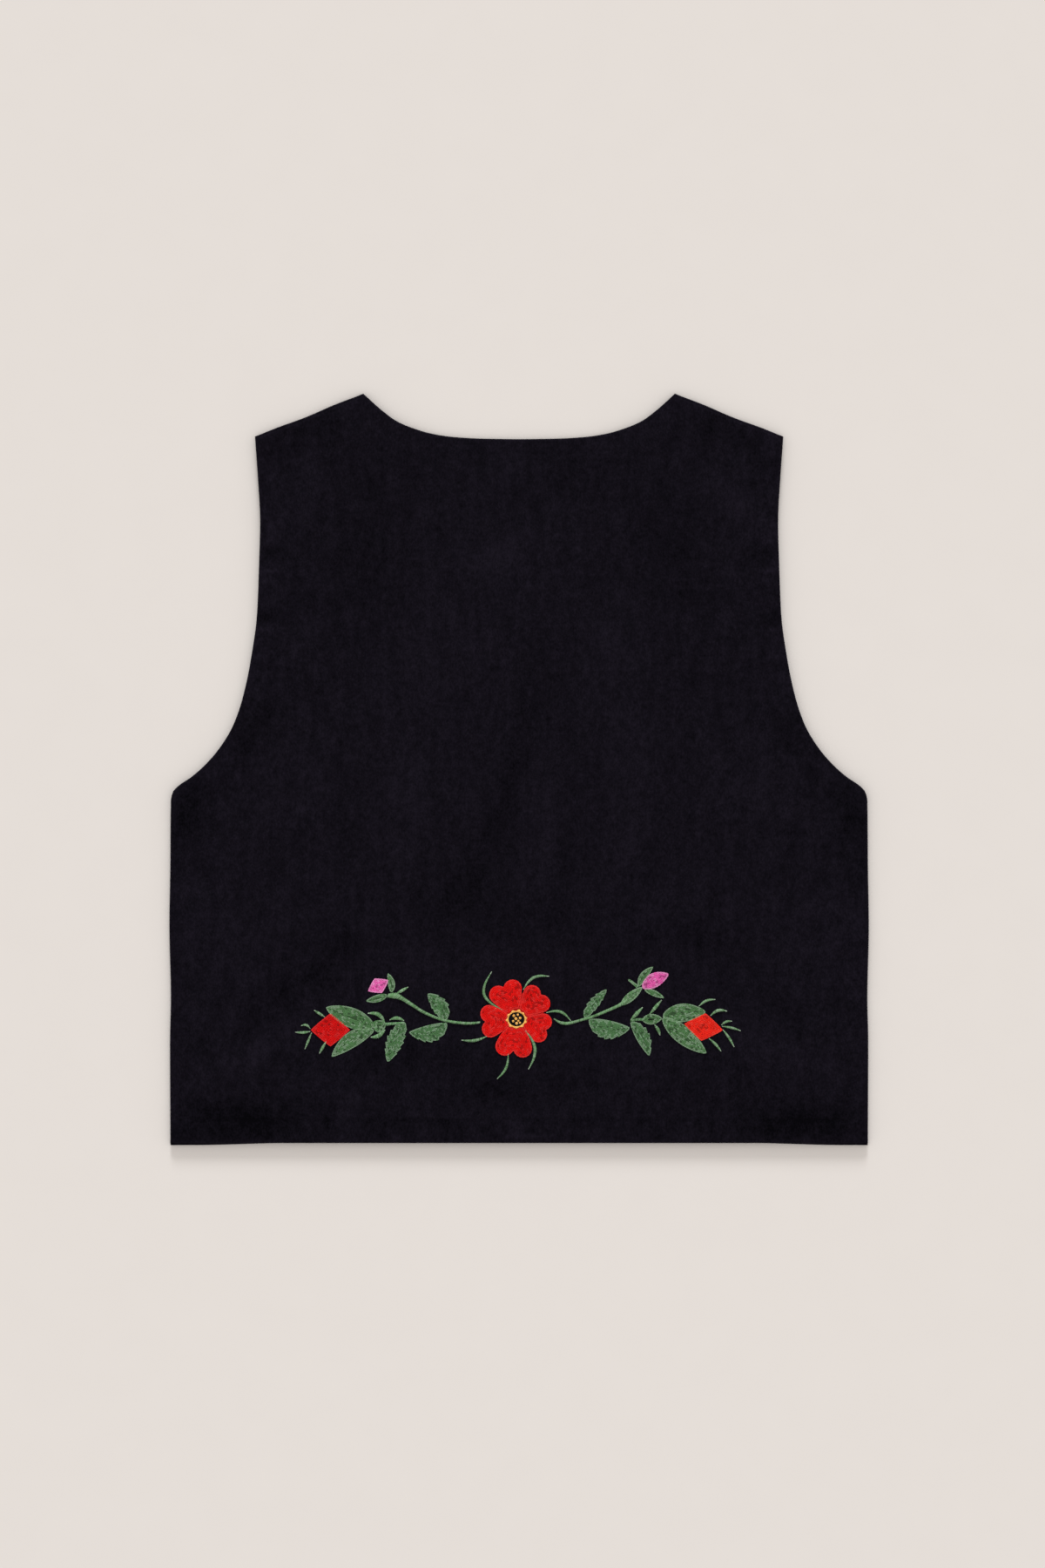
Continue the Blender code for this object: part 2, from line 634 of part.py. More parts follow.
# Leaves, sepals and the leaf-shaped bud.
LEAVES = (
    # name, thread, first share, base, tip, full half widths: left, right
    ("leaf_l1", green, 0.20, (-50.5, 85.0), (-63.0, 103.0), 3.0, 5.5),
    ("leaf_l2", green, 0.10, (-49.5, 82.5), (-76.0, 76.5), 8.5, 0.8),
    ("leaf_l3", green, 0.12, (-79.0, 83.0), (-90.5, 56.0), 4.0, 5.5),
    ("leaf_r1", green, 0.14, (45.0, 86.5), (60.5, 106.0), 4.0, 2.0),
    ("leaf_r2", green, 0.12, (48.0, 85.0), (76.0, 79.5), 1.2, 9.5),
    ("leaf_r3", green, 0.08, (77.5, 83.0), (89.5, 60.0), 6.0, 1.5),
    ("calyx_right", green, 0.0, (85.5, 85.0), (98.0, 86.0), 3.0, 3.0),
    ("calyx_left", green, 0.0, (-92.5, 81.0), (-100.0, 80.5), 3.2, 3.2),
    ("sepal_pink_l1", sage, 0.10, (-88.0, 104.5), (-90.5, 117.0), 0.2, 3.0),
    ("sepal_pink_l2", sage, 0.14, (-91.5, 101.0), (-105.5, 98.0), 2.2, 0.8),
    ("sepal_pink_r1", sage, 0.12, (82.5, 108.5), (92.5, 121.5), 3.6, 0.2),
    ("sepal_pink_r2", sage, 0.14, (87.0, 105.0), (100.0, 100.0), 1.5, 1.4),
    ("leaflet_pr", sage, 0.12, (81.5, 108.5), (75.0, 113.0), 1.3, 1.3),
    ("sepal_red_l1", sage, 0.06, (-100.5, 80.5), (-133.0, 93.5), 5.0, 5.5),
    ("sepal_red_l2", sage, 0.08, (-100.5, 77.5), (-129.0, 59.5), 2.0, 6.0),
    ("sepal_red_r1", sage, 0.08, (99.5, 88.0), (127.5, 91.0), 6.5, 3.4),
    ("sepal_red_r2", sage, 0.08, (99.5, 85.5), (129.0, 62.0), 3.5, 5.0),
    ("bud_pink_r", mauve, 0.12, (85.5, 107.0), (103.0, 116.5), 5.0, 3.2),
)
BUDS = (
    # name, thread, centre, half length, half width, tilt
    ("bud_red_l", crimson, (-130.0, 78.0), 13.5, 11.5, 0.0),
    ("bud_red_r", vermilion, (127.0, 80.0), 13.5, 9.5, -9.0),
    ("bud_pink_l", rose, (-97.0, 108.5), 8.0, 5.5, 28.0),
)

for name, first, last, route in STEMS:
    patch(name, strip(route, first, last), green, shoulder=0.0)
for name, first, last, *shape in CURLS:
    patch(name, strip(curl(*shape), first, last), green, shoulder=0.0)
for name, thread, first, base, tip, left, right in LEAVES:
    patch(name, leaf(base, tip, left, right, first), thread,
          shoulder=0.9 if right > 3.5 else 0.5)
for name, thread, *shape in BUDS:
    patch(name, bud(diamond(*shape), (0.3, 0.3, 0.3, 0.3)), thread)
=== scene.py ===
"""Black velvet vest laid flat, back up, with an embroidered spray of flowers."""

import math

import bmesh
import bpy
import numpy as np
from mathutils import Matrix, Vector
from mathutils.geometry import delaunay_2d_cdt


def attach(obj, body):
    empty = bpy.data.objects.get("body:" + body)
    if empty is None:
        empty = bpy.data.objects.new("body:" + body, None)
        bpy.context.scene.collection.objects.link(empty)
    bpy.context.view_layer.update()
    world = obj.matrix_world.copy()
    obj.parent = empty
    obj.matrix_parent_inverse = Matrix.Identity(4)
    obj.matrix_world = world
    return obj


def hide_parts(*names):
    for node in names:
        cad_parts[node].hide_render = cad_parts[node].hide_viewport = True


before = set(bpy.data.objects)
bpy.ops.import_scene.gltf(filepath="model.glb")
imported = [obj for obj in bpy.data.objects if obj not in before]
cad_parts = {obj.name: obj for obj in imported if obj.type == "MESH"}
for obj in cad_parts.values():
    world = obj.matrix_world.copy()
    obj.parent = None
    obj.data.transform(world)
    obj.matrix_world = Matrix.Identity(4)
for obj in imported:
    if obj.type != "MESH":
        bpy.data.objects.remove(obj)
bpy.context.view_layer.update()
MM = 0.001

# ------------------------------------------------------------ sizes, in mm
NECK_POINT = (107.4, 516.4)
SHOULDER_TIP = (182.1, 486.8)
BAND = 2.2            # cloth doubled at its turned-in edges
GAP = 0.3
HEM_BAND = 15.6       # depth of the turned-in hem
ARM_BAND = 17.0       # depth of the armhole facing
LEVEL = BAND + GAP    # underside of the back
SAG = 1.5             # the back settles into the front V
FRONT_GAP = 2.0
V_POINT = 307.0
HEM_PEEK = 1.6        # the fronts show this much below the back
MIDDLE = (516.4 - HEM_PEEK) / 2.0

SECTIONS = (
    # above_hem, half_width
    (0.0, 240.4), (70.0, 240.7), (100.0, 240.1), (150.0, 241.1),
    (190.0, 240.5), (235.0, 240.1), (241.5, 238.9), (246.0, 235.0),
    (252.0, 226.2), (260.0, 217.0), (272.0, 206.6), (288.0, 197.0),
    (308.0, 190.2), (335.0, 184.6), (365.0, 180.6), (400.0, 179.2),
    (428.0, 178.5), (458.0, 180.0), (486.8, 182.1),
)
UNDERARM = 236.0
NECK = (
    # from_centre, drop below the neck point
    (0.0, 31.3), (26.0, 30.9), (46.0, 29.7), (60.0, 27.6),
    (72.0, 24.2), (84.0, 19.2), (95.0, 11.2), (107.4, 0.0),
)

# Soft folds of the laid-out back; troughs are negative.
FOLDS = (
    # x0, y0, x1, y1, half_width, height
    (-176.0, 424.0, -132.0, 462.0, 11.0, 1.4),
    (176.0, 424.0, 132.0, 462.0, 11.0, 1.3),
    (-170.0, 396.0, -136.0, 436.0, 9.0, -0.6),
    (168.0, 400.0, 138.0, 434.0, 9.0, -0.6),
    (15.0, 336.0, 0.0, 262.0, 22.0, -0.55),
    (0.0, 262.0, -52.0, 142.0, 24.0, -0.7),
    (-80.0, 322.0, -78.0, 150.0, 20.0, 1.0),
    (78.0, 318.0, 76.0, 145.0, 20.0, 0.9),
    (-111.0, 428.0, -108.0, 285.0, 18.0, -0.6),
    (112.0, 426.0, 110.0, 290.0, 18.0, -0.6),
    (-13.0, 445.0, 9.0, 467.0, 9.0, 0.5),
    (-27.0, 383.0, 15.0, 425.0, 12.0, 0.6),
    (-180.0, 276.0, -168.0, 300.0, 14.0, -0.7),
    (180.0, 276.0, 168.0, 300.0, 14.0, -0.7),
    (-206.0, 66.0, -118.0, 134.0, 15.0, -0.8),
    (-222.0, 40.0, -150.0, 74.0, 14.0, 1.0),
    (183.0, 96.0, 204.0, 60.0, 12.0, -0.7),
    (150.0, 58.0, 226.0, 56.0, 12.0, 0.8),
    (38.0, 13.0, 56.0, 43.0, 2.6, -0.35),
    (-62.0, 210.0, -30.0, 232.0, 10.0, 0.35),
    (34.0, 196.0, 62.0, 176.0, 9.0, -0.35),
    (-214.0, 150.0, -196.0, 222.0, 12.0, 0.45),
    (212.0, 142.0, 201.0, 218.0, 12.0, 0.45),
    (120.0, 232.0, 158.0, 262.0, 11.0, 0.4),
    (-124.0, 226.0, -160.0, 258.0, 11.0, 0.4),
)

# Puckers of the turned-in edges, which run up to the edge itself.
PUCKERS = (
    # x0, y0, x1, y1, half_width, height
    (-179.0, 394.4, -170.0, 393.4, 1.3, 0.50),
    (-170.5, 393.4, -161.5, 395.0, 1.3, 0.42),
    (179.0, 394.4, 170.0, 393.4, 1.3, 0.46),
    (170.5, 393.4, 162.5, 394.6, 1.3, 0.36),
    (-178.5, 386.4, -164.0, 387.4, 1.4, 0.24),
    (178.5, 387.0, 166.0, 387.6, 1.4, 0.20),
    (-176.0, 415.4, -165.0, 416.2, 1.8, 0.26),
    (176.0, 414.6, 166.0, 415.4, 1.8, 0.22),
    (-180.5, 353.6, -170.0, 353.0, 1.3, 0.48),
    (-170.5, 353.0, -163.0, 354.4, 1.3, 0.36),
    (180.5, 353.6, 170.0, 353.2, 1.3, 0.42),
    (-179.0, 406.0, -165.0, 406.6, 4.2, -0.34),
    (179.0, 406.0, 165.0, 406.6, 4.2, -0.30),
    (-181.0, 362.0, -166.0, 362.0, 4.6, -0.36),
    (181.0, 362.0, 166.0, 362.0, 4.6, -0.32),
    (-184.0, 333.0, -171.0, 335.0, 1.7, 0.24),
    (184.0, 334.0, 172.0, 335.5, 1.7, 0.22),
    (-186.0, 322.0, -172.0, 325.0, 4.0, 0.20),
    (187.0, 318.0, 173.0, 322.0, 4.0, 0.20),
    (-216.0, 258.0, -208.0, 244.0, 4.5, 0.3),
    (216.0, 258.0, 208.0, 244.0, 4.5, 0.3),
    (-240.0, 28.0, -142.0, 7.0, 7.0, -0.15),
    (240.0, 24.0, 152.0, 7.0, 7.0, -0.15),
    (-133.0, 17.0, -133.0, 1.0, 2.0, -0.16),
    (133.0, 17.0, 133.0, 1.0, 2.0, -0.16),
    (-8.0, 4.4, 26.0, 4.4, 1.6, 0.25),
    (-70.0, 15.0, -62.0, 1.0, 3.0, 0.2),
    (88.0, 14.0, 80.0, 1.0, 3.0, 0.2),
    (-196.0, 12.0, -188.0, 0.0, 3.0, 0.25),
    (204.0, 12.0, 198.0, 0.0, 3.0, 0.25),
)


# Painted shade and highlight of the back's folds and of the nap's sheen: brighter where
# they face the light, darker where they face away, in shades of the 0 to 255 scale.
NAP_AND_FOLD_SHADE = (
    # x0, y0, x1, y1, half_width, shades
    (-174.0, 420.0, -128.0, 459.0, 9.0, 3.0),
    (176.0, 420.0, 126.0, 461.0, 9.0, 2.8),
    (-177.0, 424.0, -168.0, 428.0, 5.0, 2.6),
    (177.0, 424.0, 168.0, 428.0, 5.0, 2.6),
    (-166.0, 482.0, -112.0, 500.0, 9.0, -2.0),
    (166.0, 482.0, 112.0, 500.0, 9.0, -2.0),
    (-113.0, 452.0, -108.0, 350.0, 20.0, -1.9),
    (98.0, 454.0, 108.0, 345.0, 22.0, -1.9),
    (-62.0, 384.0, -60.0, 280.0, 30.0, 1.6),
    (68.0, 384.0, 64.0, 280.0, 28.0, 1.6),
    (-4.0, 430.0, -4.0, 360.0, 26.0, 0.9),
    (-22.0, 451.0, 1.0, 471.0, 8.0, 2.0),
    (-35.0, 390.0, 6.0, 421.0, 10.0, 2.2),
    (30.0, 470.0, 60.0, 452.0, 14.0, -0.9),
    (-70.0, 470.0, -48.0, 462.0, 12.0, -0.7),
    (13.0, 358.0, 10.0, 312.0, 6.0, -2.0),
    (10.0, 314.0, -3.0, 256.0, 8.0, -2.8),
    (-3.0, 258.0, -22.0, 191.0, 9.0, -2.7),
    (-22.0, 193.0, -54.0, 158.0, 12.0, -2.8),
    (36.0, 219.0, 30.0, 157.0, 6.0, -1.9),
    (20.0, 245.0, 18.0, 176.0, 7.0, 1.8),
    (-81.0, 284.0, -79.0, 189.0, 10.0, 2.0),
    (78.0, 284.0, 76.0, 189.0, 10.0, 2.0),
    (-80.0, 207.0, -79.0, 190.0, 6.0, 2.0),
    (76.0, 207.0, 75.0, 192.0, 6.0, 2.0),
    (-196.0, 262.0, -156.0, 226.0, 22.0, 1.5),
    (196.0, 262.0, 156.0, 226.0, 22.0, 1.5),
    (-152.0, 282.0, -150.0, 240.0, 16.0, 0.9),
    (150.0, 284.0, 148.0, 240.0, 16.0, 0.9),
    (-208.0, 172.0, -194.0, 98.0, 22.0, 1.6),
    (208.0, 172.0, 198.0, 104.0, 22.0, 1.6),
    (-229.0, 236.0, -229.0, 188.0, 11.0, -2.6),
    (229.0, 236.0, 229.0, 188.0, 11.0, -2.6),
    (-228.0, 150.0, -226.0, 140.0, 8.0, 1.6),
    (230.0, 160.0, 226.0, 142.0, 8.0, 1.8),
    (-202.0, 66.0, -112.0, 140.0, 11.0, -3.0),
    (-214.0, 44.0, -144.0, 84.0, 10.0, 2.9),
    (200.0, 64.0, 178.0, 96.0, 8.0, -2.6),
    (216.0, 50.0, 150.0, 78.0, 12.0, 2.2),
    (-236.0, 13.0, -148.0, 22.0, 13.0, -5.2),
    (236.0, 13.0, 148.0, 20.0, 13.0, -4.8),
    (-240.0, 6.0, -150.0, 6.0, 4.0, -1.6),
    (240.0, 6.0, 150.0, 6.0, 4.0, -1.6),
    (-134.0, 12.0, -24.0, 13.0, 8.0, -2.6),
    (16.0, 13.0, 134.0, 12.0, 8.0, -1.8),
    (-122.0, 62.0, -30.0, 52.0, 15.0, -2.2),
    (-62.0, 42.0, -50.0, 47.0, 8.0, 2.8),
    (-120.0, 28.0, -108.0, 35.0, 8.0, 2.4),
    (-36.0, 44.0, 12.0, 28.0, 12.0, -2.8),
    (82.0, 40.0, 98.0, 70.0, 10.0, 1.9),
    (38.0, 13.0, 56.0, 43.0, 2.4, -2.2),
    (20.0, 34.0, 33.0, 60.0, 4.0, -1.6),
    (-61.0, 166.0, 49.0, 150.0, 13.0, -1.8),
    (112.0, 150.0, 140.0, 126.0, 10.0, -2.4),
    (-142.0, 152.0, -112.0, 132.0, 10.0, -1.9),
    (-94.0, 128.0, -60.0, 126.0, 9.0, 1.6),
    (-30.0, 128.0, -12.0, 124.0, 7.0, 1.6),
    (-204.0, 288.0, -178.0, 292.0, 8.0, -1.8),
    (204.0, 288.0, 178.0, 292.0, 8.0, -1.8),
)


# ------------------------------------------------------------ plain geometry
def smooth_table(rows, at):
    """Read a table at a value, through a monotone cubic between its rows."""
    xs = np.array([r[0] for r in rows], float)
    ys = np.array([r[1] for r in rows], float)
    step = np.diff(xs)
    slope = np.diff(ys) / step
    tangent = np.zeros(len(xs))
    tangent[0], tangent[-1] = slope[0], slope[-1]
    for i in range(1, len(xs) - 1):
        if slope[i - 1] * slope[i] > 0:
            w0 = 2 * step[i] + step[i - 1]
            w1 = step[i] + 2 * step[i - 1]
            tangent[i] = (w0 + w1) / (w0 / slope[i - 1] + w1 / slope[i])
    at = np.clip(np.asarray(at, float), xs[0], xs[-1])
    i = np.clip(np.searchsorted(xs, at, side="right") - 1, 0, len(xs) - 2)
    h = step[i]
    t = (at - xs[i]) / h
    return ((2 * t ** 3 - 3 * t ** 2 + 1) * ys[i]
            + (t ** 3 - 2 * t ** 2 + t) * h * tangent[i]
            + (-2 * t ** 3 + 3 * t ** 2) * ys[i + 1]
            + (t ** 3 - t ** 2) * h * tangent[i + 1])


def ease(value, low, high):
    t = np.clip((np.asarray(value, float) - low) / (high - low), 0.0, 1.0)
    return t * t * (3 - 2 * t)


def segment_distance(points, a, b):
    p = np.asarray(points, float)
    a, b = np.asarray(a, float), np.asarray(b, float)
    d = b - a
    t = np.clip(((p - a) @ d) / max(d @ d, 1e-12), 0.0, 1.0)
    return np.linalg.norm(p - (a + t[:, None] * d), axis=1), t


def line_distance(points, line):
    best = np.full(len(points), 1e9)
    for a, b in zip(line[:-1], line[1:]):
        best = np.minimum(best, segment_distance(points, a, b)[0])
    return best


def inset(loop, amount):
    """The closed loop moved inward, without the points that would cross."""
    loop = np.asarray(loop, float)
    before = loop - np.roll(loop, 1, axis=0)
    after = np.roll(loop, -1, axis=0) - loop
    n0 = np.stack([-before[:, 1], before[:, 0]], 1)
    n1 = np.stack([-after[:, 1], after[:, 0]], 1)
    n0 /= np.linalg.norm(n0, axis=1)[:, None]
    n1 /= np.linalg.norm(n1, axis=1)[:, None]
    n = n0 + n1
    n /= np.maximum(0.35, (n * n).sum(1) / 2.0)[:, None]
    moved = loop + n * amount
    closed = np.vstack([loop, loop[:1]])
    keep = line_distance(moved, closed) > amount * 0.985 - 0.02
    return moved[keep]


def spaced(a, b, pitch):
    n = max(1, int(round(abs(b - a) / pitch)))
    return [a + (b - a) * i / n for i in range(n)]


# ------------------------------------------------------------ the cut
def side_edge(pitch):
    return [(float(smooth_table(SECTIONS, y)), y)
            for y in spaced(0.0, UNDERARM, pitch)]


def armhole_edge(pitch):
    """The armhole, its points evenly spaced along the curve."""
    ys = np.linspace(UNDERARM, SHOULDER_TIP[1], 1500)
    xs = smooth_table(SECTIONS, ys)
    run = np.concatenate([[0], np.cumsum(np.hypot(np.diff(xs), np.diff(ys)))])
    at = spaced(0.0, run[-1], pitch)
    return list(zip(np.interp(at, run, xs), np.interp(at, run, ys)))


def shoulder_edge(pitch):
    length = math.dist(SHOULDER_TIP, NECK_POINT)
    return [(SHOULDER_TIP[0] + (NECK_POINT[0] - SHOULDER_TIP[0]) * t,
             SHOULDER_TIP[1] + (NECK_POINT[1] - SHOULDER_TIP[1]) * t
             + 0.45 * math.sin(9.0 * t + 0.6) * math.sin(math.pi * t))
            for t in (s / length for s in spaced(0.0, length, pitch))]


def back_neck_edge(pitch):
    xs = np.linspace(NECK_POINT[0], 0.0, 800)
    ys = NECK_POINT[1] - smooth_table(NECK, xs)
    run = np.concatenate([[0], np.cumsum(np.hypot(np.diff(xs), np.diff(ys)))])
    at = spaced(0.0, run[-1], pitch)
    return list(zip(np.interp(at, run, xs), np.interp(at, run, ys)))


def front_neck_edge(pitch):
    end = (FRONT_GAP / 2.0, V_POINT)
    rows = []
    for s in spaced(0.0, math.dist(NECK_POINT, end), pitch):
        t = s / math.dist(NECK_POINT, end)
        bow = 5.0 * math.sin(math.pi * t)
        rows.append((NECK_POINT[0] + (end[0] - NECK_POINT[0]) * t - 0.4 * bow,
                     NECK_POINT[1] + (end[1] - NECK_POINT[1]) * t - 0.2 * bow))
    return rows


def mirrored(line):
    return [(-x, y) for x, y in line]


def back_cut(pitch):
    hem = [(x, 0.0) for x in spaced(0.0, SECTIONS[0][1], pitch)]
    side, arm = side_edge(pitch), armhole_edge(pitch)
    shoulder, neck = shoulder_edge(pitch), back_neck_edge(pitch)
    right = hem + side + arm + shoulder + neck
    crown = [(0.0, NECK_POINT[1] - NECK[0][1])]
    left = mirrored(right[1:])[::-1]
    sides = side + [arm[0]]
    tops = shoulder + [NECK_POINT]
    arms = arm + [SHOULDER_TIP]
    necks = neck + crown
    hems = hem + [side[0]]
    both = lambda line: [line, mirrored(line)]
    return right + crown + left, dict(side=both(sides), top=both(tops),
                                      arm=both(arms), neck=both(necks),
                                      hem=both(hems))


def front_cut(pitch):
    hem = [(x, -HEM_PEEK * float(ease(x, 150.0, 225.0)))
           for x in spaced(FRONT_GAP / 2.0, SECTIONS[0][1], pitch)]
    side, arm = side_edge(pitch), armhole_edge(pitch)
    side = [(side[0][0], -HEM_PEEK)] + side[1:]
    shoulder, neck = shoulder_edge(pitch), front_neck_edge(pitch)
    edge = [(FRONT_GAP / 2.0, y) for y in spaced(V_POINT, 0.0, pitch)]
    return hem + side + arm + shoulder + neck + edge, dict(
        side=[side + [arm[0]]], top=[shoulder + [NECK_POINT]],
        arm=[arm + [SHOULDER_TIP]], neck=[neck + edge[:1]],
        hem=[hem + side[:1]], edge=[edge + hem[:1]])


# ------------------------------------------------------------ heights
def folds(points, table):
    total = np.zeros(len(points))
    for x0, y0, x1, y1, half, height in table:
        dist, t = segment_distance(points, (x0, y0), (x1, y1))
        total += height * np.exp(-(dist / half) ** 2) * (
            0.35 + 0.65 * np.sin(np.pi * np.clip(t, 0.0, 1.0)))
    return total


RNG = np.random.default_rng(7)
WAVES = [(RNG.uniform(0, 2 * math.pi), 2 * math.pi / RNG.uniform(28, 95),
          RNG.uniform(0, 2 * math.pi), RNG.uniform(0.05, 0.13))
         for _ in range(22)]


def ripple(points):
    """Gentle unevenness of cloth that has been smoothed out by hand."""
    p = np.asarray(points, float)
    total = np.zeros(len(p))
    for turn, rate, phase, size in WAVES:
        total += size * np.sin(
            (p[:, 0] * math.cos(turn) + p[:, 1] * math.sin(turn)) * rate + phase)
    return total


def circle(share):
    """Quarter circle, 0 at 0 and 1 at 1."""
    s = np.clip(share, 0.0, 1.0)
    return np.sqrt(np.clip(1.0 - (1.0 - s) ** 2, 0.0, 1.0))


def reach(points, runs):
    return np.min([line_distance(points, r) for r in runs], axis=0)


def settle(points):
    """How far the back sinks where no front lies under it."""
    p = np.asarray(points, float)
    edge = V_POINT + (np.abs(p[:, 0]) / NECK_POINT[0]) * (
        NECK_POINT[1] - V_POINT)
    return -SAG * ease(p[:, 1] - edge, 22.0, 90.0)


def field(points):
    """Outer face of the back away from its edges."""
    return LEVEL + BAND + folds(points, FOLDS) + settle(points) + ripple(points)


def back_heights(points, runs):
    side, top = reach(points, runs["side"]), reach(points, runs["top"])
    arm, neck = reach(points, runs["arm"]), reach(points, runs["neck"])
    hem = reach(points, runs["hem"])
    seam = np.minimum(side, top)
    free = np.minimum(np.minimum(arm, neck), hem)
    near = np.minimum(seam, free)
    calm = ease(near, 4.0, 26.0)
    relief = (folds(points, FOLDS) + ripple(points)) * calm
    relief += folds(points, PUCKERS) * ease(near, 0.2, 3.0)
    # the ends of the turned-in bands press through as faint steps
    relief += -0.30 * np.exp(-((hem - HEM_BAND) / 1.5) ** 2) * ease(seam, 2, 9)
    relief += 0.16 * (1 - ease(hem, HEM_BAND - 2, HEM_BAND + 3))
    relief += -0.26 * np.exp(-((arm - ARM_BAND) / 1.6) ** 2)
    relief += 0.14 * (1 - ease(arm, ARM_BAND - 2, ARM_BAND + 3))
    relief += -0.20 * np.exp(-((neck - 11.0) / 1.5) ** 2) * ease(seam, 2, 9)
    relief += -0.50 * np.exp(-((top - 1.7) / 0.45) ** 2)
    upper = LEVEL + BAND + relief + settle(points)
    crown = np.minimum(circle(seam / 3.2), 0.5 + 0.5 * circle(free / 1.2))
    height = 0.28 + (BAND - 0.28) * crown
    low = LEVEL + settle(points) + relief * 0.8 + 0.5 * BAND * (
        1 - circle(free / 1.2)) * 0.8 + 0.05
    return np.maximum(low, 0.3), np.maximum(upper - (BAND - height), low + 0.2)


SPOTS = [(RNG.uniform(0, 2 * math.pi), 2 * math.pi / RNG.uniform(9, 30),
          RNG.uniform(0, 2 * math.pi)) for _ in range(30)]


def painted_velvet_shade(points, runs):
    """Shades for the back, point by point: painted shade and highlight on the folds, nap
    and puckers, painted shade at the band steps, a painted bright rim along the edges,
    random blotches and a darker band inside the armhole.
    """
    p = np.asarray(points, float)
    side, arm = reach(p, runs["side"]), reach(p, runs["arm"])
    hem, neck = reach(p, runs["hem"]), reach(p, runs["neck"])
    top = reach(p, runs["top"])
    # painted shade and highlight of the folds and of the nap's sheen
    shade = folds(p, NAP_AND_FOLD_SHADE)
    # painted shade and highlight on the puckers, 14 shades per mm of their height
    shade += 14.0 * folds(p, PUCKERS)
    blotch = np.zeros(len(p))
    for turn, rate, phase in SPOTS:
        blotch += np.sin((p[:, 0] * math.cos(turn) + p[:, 1] * math.sin(turn))
                         * rate + phase)
    outer = 1.0 - 0.6 * ease(np.minimum(np.minimum(side, arm), hem), 40, 110)
    shade += 0.16 * blotch * outer
    shade += -2.2 * np.exp(-((arm - 13.0) / 10.0) ** 2) * ease(
        330.0 - p[:, 1], 0.0, 60.0)
    # painted shade along the ends of the hem and armhole bands, with a painted highlight
    # just beyond the hem band's end
    shade += -1.1 * np.exp(-((hem - HEM_BAND) / 1.3) ** 2)
    shade += 1.0 * np.exp(-((hem - HEM_BAND - 3.0) / 2.0) ** 2)
    shade += -0.8 * np.exp(-((arm - ARM_BAND) / 1.4) ** 2)
    # painted highlight: a bright rim of sheen along every edge
    edge = np.min([side, arm, hem, neck, top], axis=0)
    shade += 3.2 * np.exp(-(edge / 0.9) ** 2)
    return shade


def front_heights(points, runs):
    seam = np.minimum(reach(points, runs["side"]), reach(points, runs["top"]))
    free = np.min([reach(points, runs[k])
                   for k in ("arm", "neck", "hem", "edge")], axis=0)
    roll = 1.9 * (1 - circle(seam / 3.2))
    tuck = 0.8 * (1 - circle(free / 1.2))
    low = np.maximum(roll, tuck)
    thick = BAND - 0.7 * ease(np.minimum(free, seam), 15.0, 18.0)
    top = np.maximum(thick - tuck, low + 0.2)
    return low, np.minimum(top, BAND)


# ------------------------------------------------------------ mesh making
def triangulate(loop, rings, inner):
    coords = [Vector((float(x), float(y))) for x, y in loop]
    edges = []
    for ring in rings:
        start, count = len(coords), len(ring)
        coords += [Vector((float(x), float(y))) for x, y in ring]
        edges += [(start + i, start + (i + 1) % count) for i in range(count)]
    coords += [Vector((float(x), float(y))) for x, y in inner]
    verts, _, faces, _, _, _ = delaunay_2d_cdt(
        coords, edges, [list(range(len(loop)))], 1, 1e-5)
    flat = np.array([(v.x, v.y) for v in verts])
    tris = np.array([f for f in faces if len(f) == 3])
    a, b, c = (flat[tris[:, i]] for i in range(3))
    area = np.cross(b - a, c - a)
    tris = tris[np.abs(area) > 1e-7]
    area = area[np.abs(area) > 1e-7]
    tris[area < 0] = tris[area < 0][:, ::-1]
    return flat, tris


def link(name, verts, faces, mats, indices=None, smooth=True):
    mesh = bpy.data.meshes.new(name)
    mesh.from_pydata([tuple(v) for v in verts], [],
                     [tuple(int(i) for i in f) for f in faces])
    for mat in mats:
        mesh.materials.append(mat)
    if indices is not None:
        mesh.polygons.foreach_set("material_index", np.array(indices, dtype=np.int32))
    if smooth:
        mesh.polygons.foreach_set("use_smooth", [True] * len(mesh.polygons))
    mesh.update()
    ob = bpy.data.objects.new(name, mesh)
    bpy.context.scene.collection.objects.link(ob)
    return ob


def closed_sheet(name, flat, tris, low, top, mats):
    n = len(flat)
    up = np.column_stack([flat[:, 0], flat[:, 1] - MIDDLE, top]) * MM
    down = np.column_stack([flat[:, 0], flat[:, 1] - MIDDLE, low]) * MM
    faces = [tuple(t) for t in tris] + [
        (c + n, b + n, a + n) for a, b, c in tris]
    count = {}
    for a, b, c in tris:
        for p, q in ((a, b), (b, c), (c, a)):
            count[(p, q)] = True
    faces += [(p + n, q + n, q, p) for p, q in count if (q, p) not in count]
    return link(name, np.vstack([up, down]), faces, mats)


def paint(ob, shades):
    """Keeps the painted shade and highlight on the mesh, as its nap attribute, for the
    velvet to read.
    """
    data = ob.data.attributes.new("nap", "FLOAT", "POINT")
    value = np.clip(0.5 + np.concatenate([shades, shades]) / 40.0, 0.0, 1.0)
    data.data.foreach_set("value", value.astype(np.float32))


def inside(loop, points):
    loop = np.asarray(loop, float)
    points = np.asarray(points, float)
    odd = np.zeros(len(points), bool)
    for (x0, y0), (x1, y1) in zip(loop, np.roll(loop, -1, axis=0)):
        if y0 == y1:
            continue
        span = (y0 > points[:, 1]) != (y1 > points[:, 1])
        cross = (x1 - x0) * (points[:, 1] - y0) / (y1 - y0) + x0
        odd ^= span & (points[:, 0] < cross)
    return odd


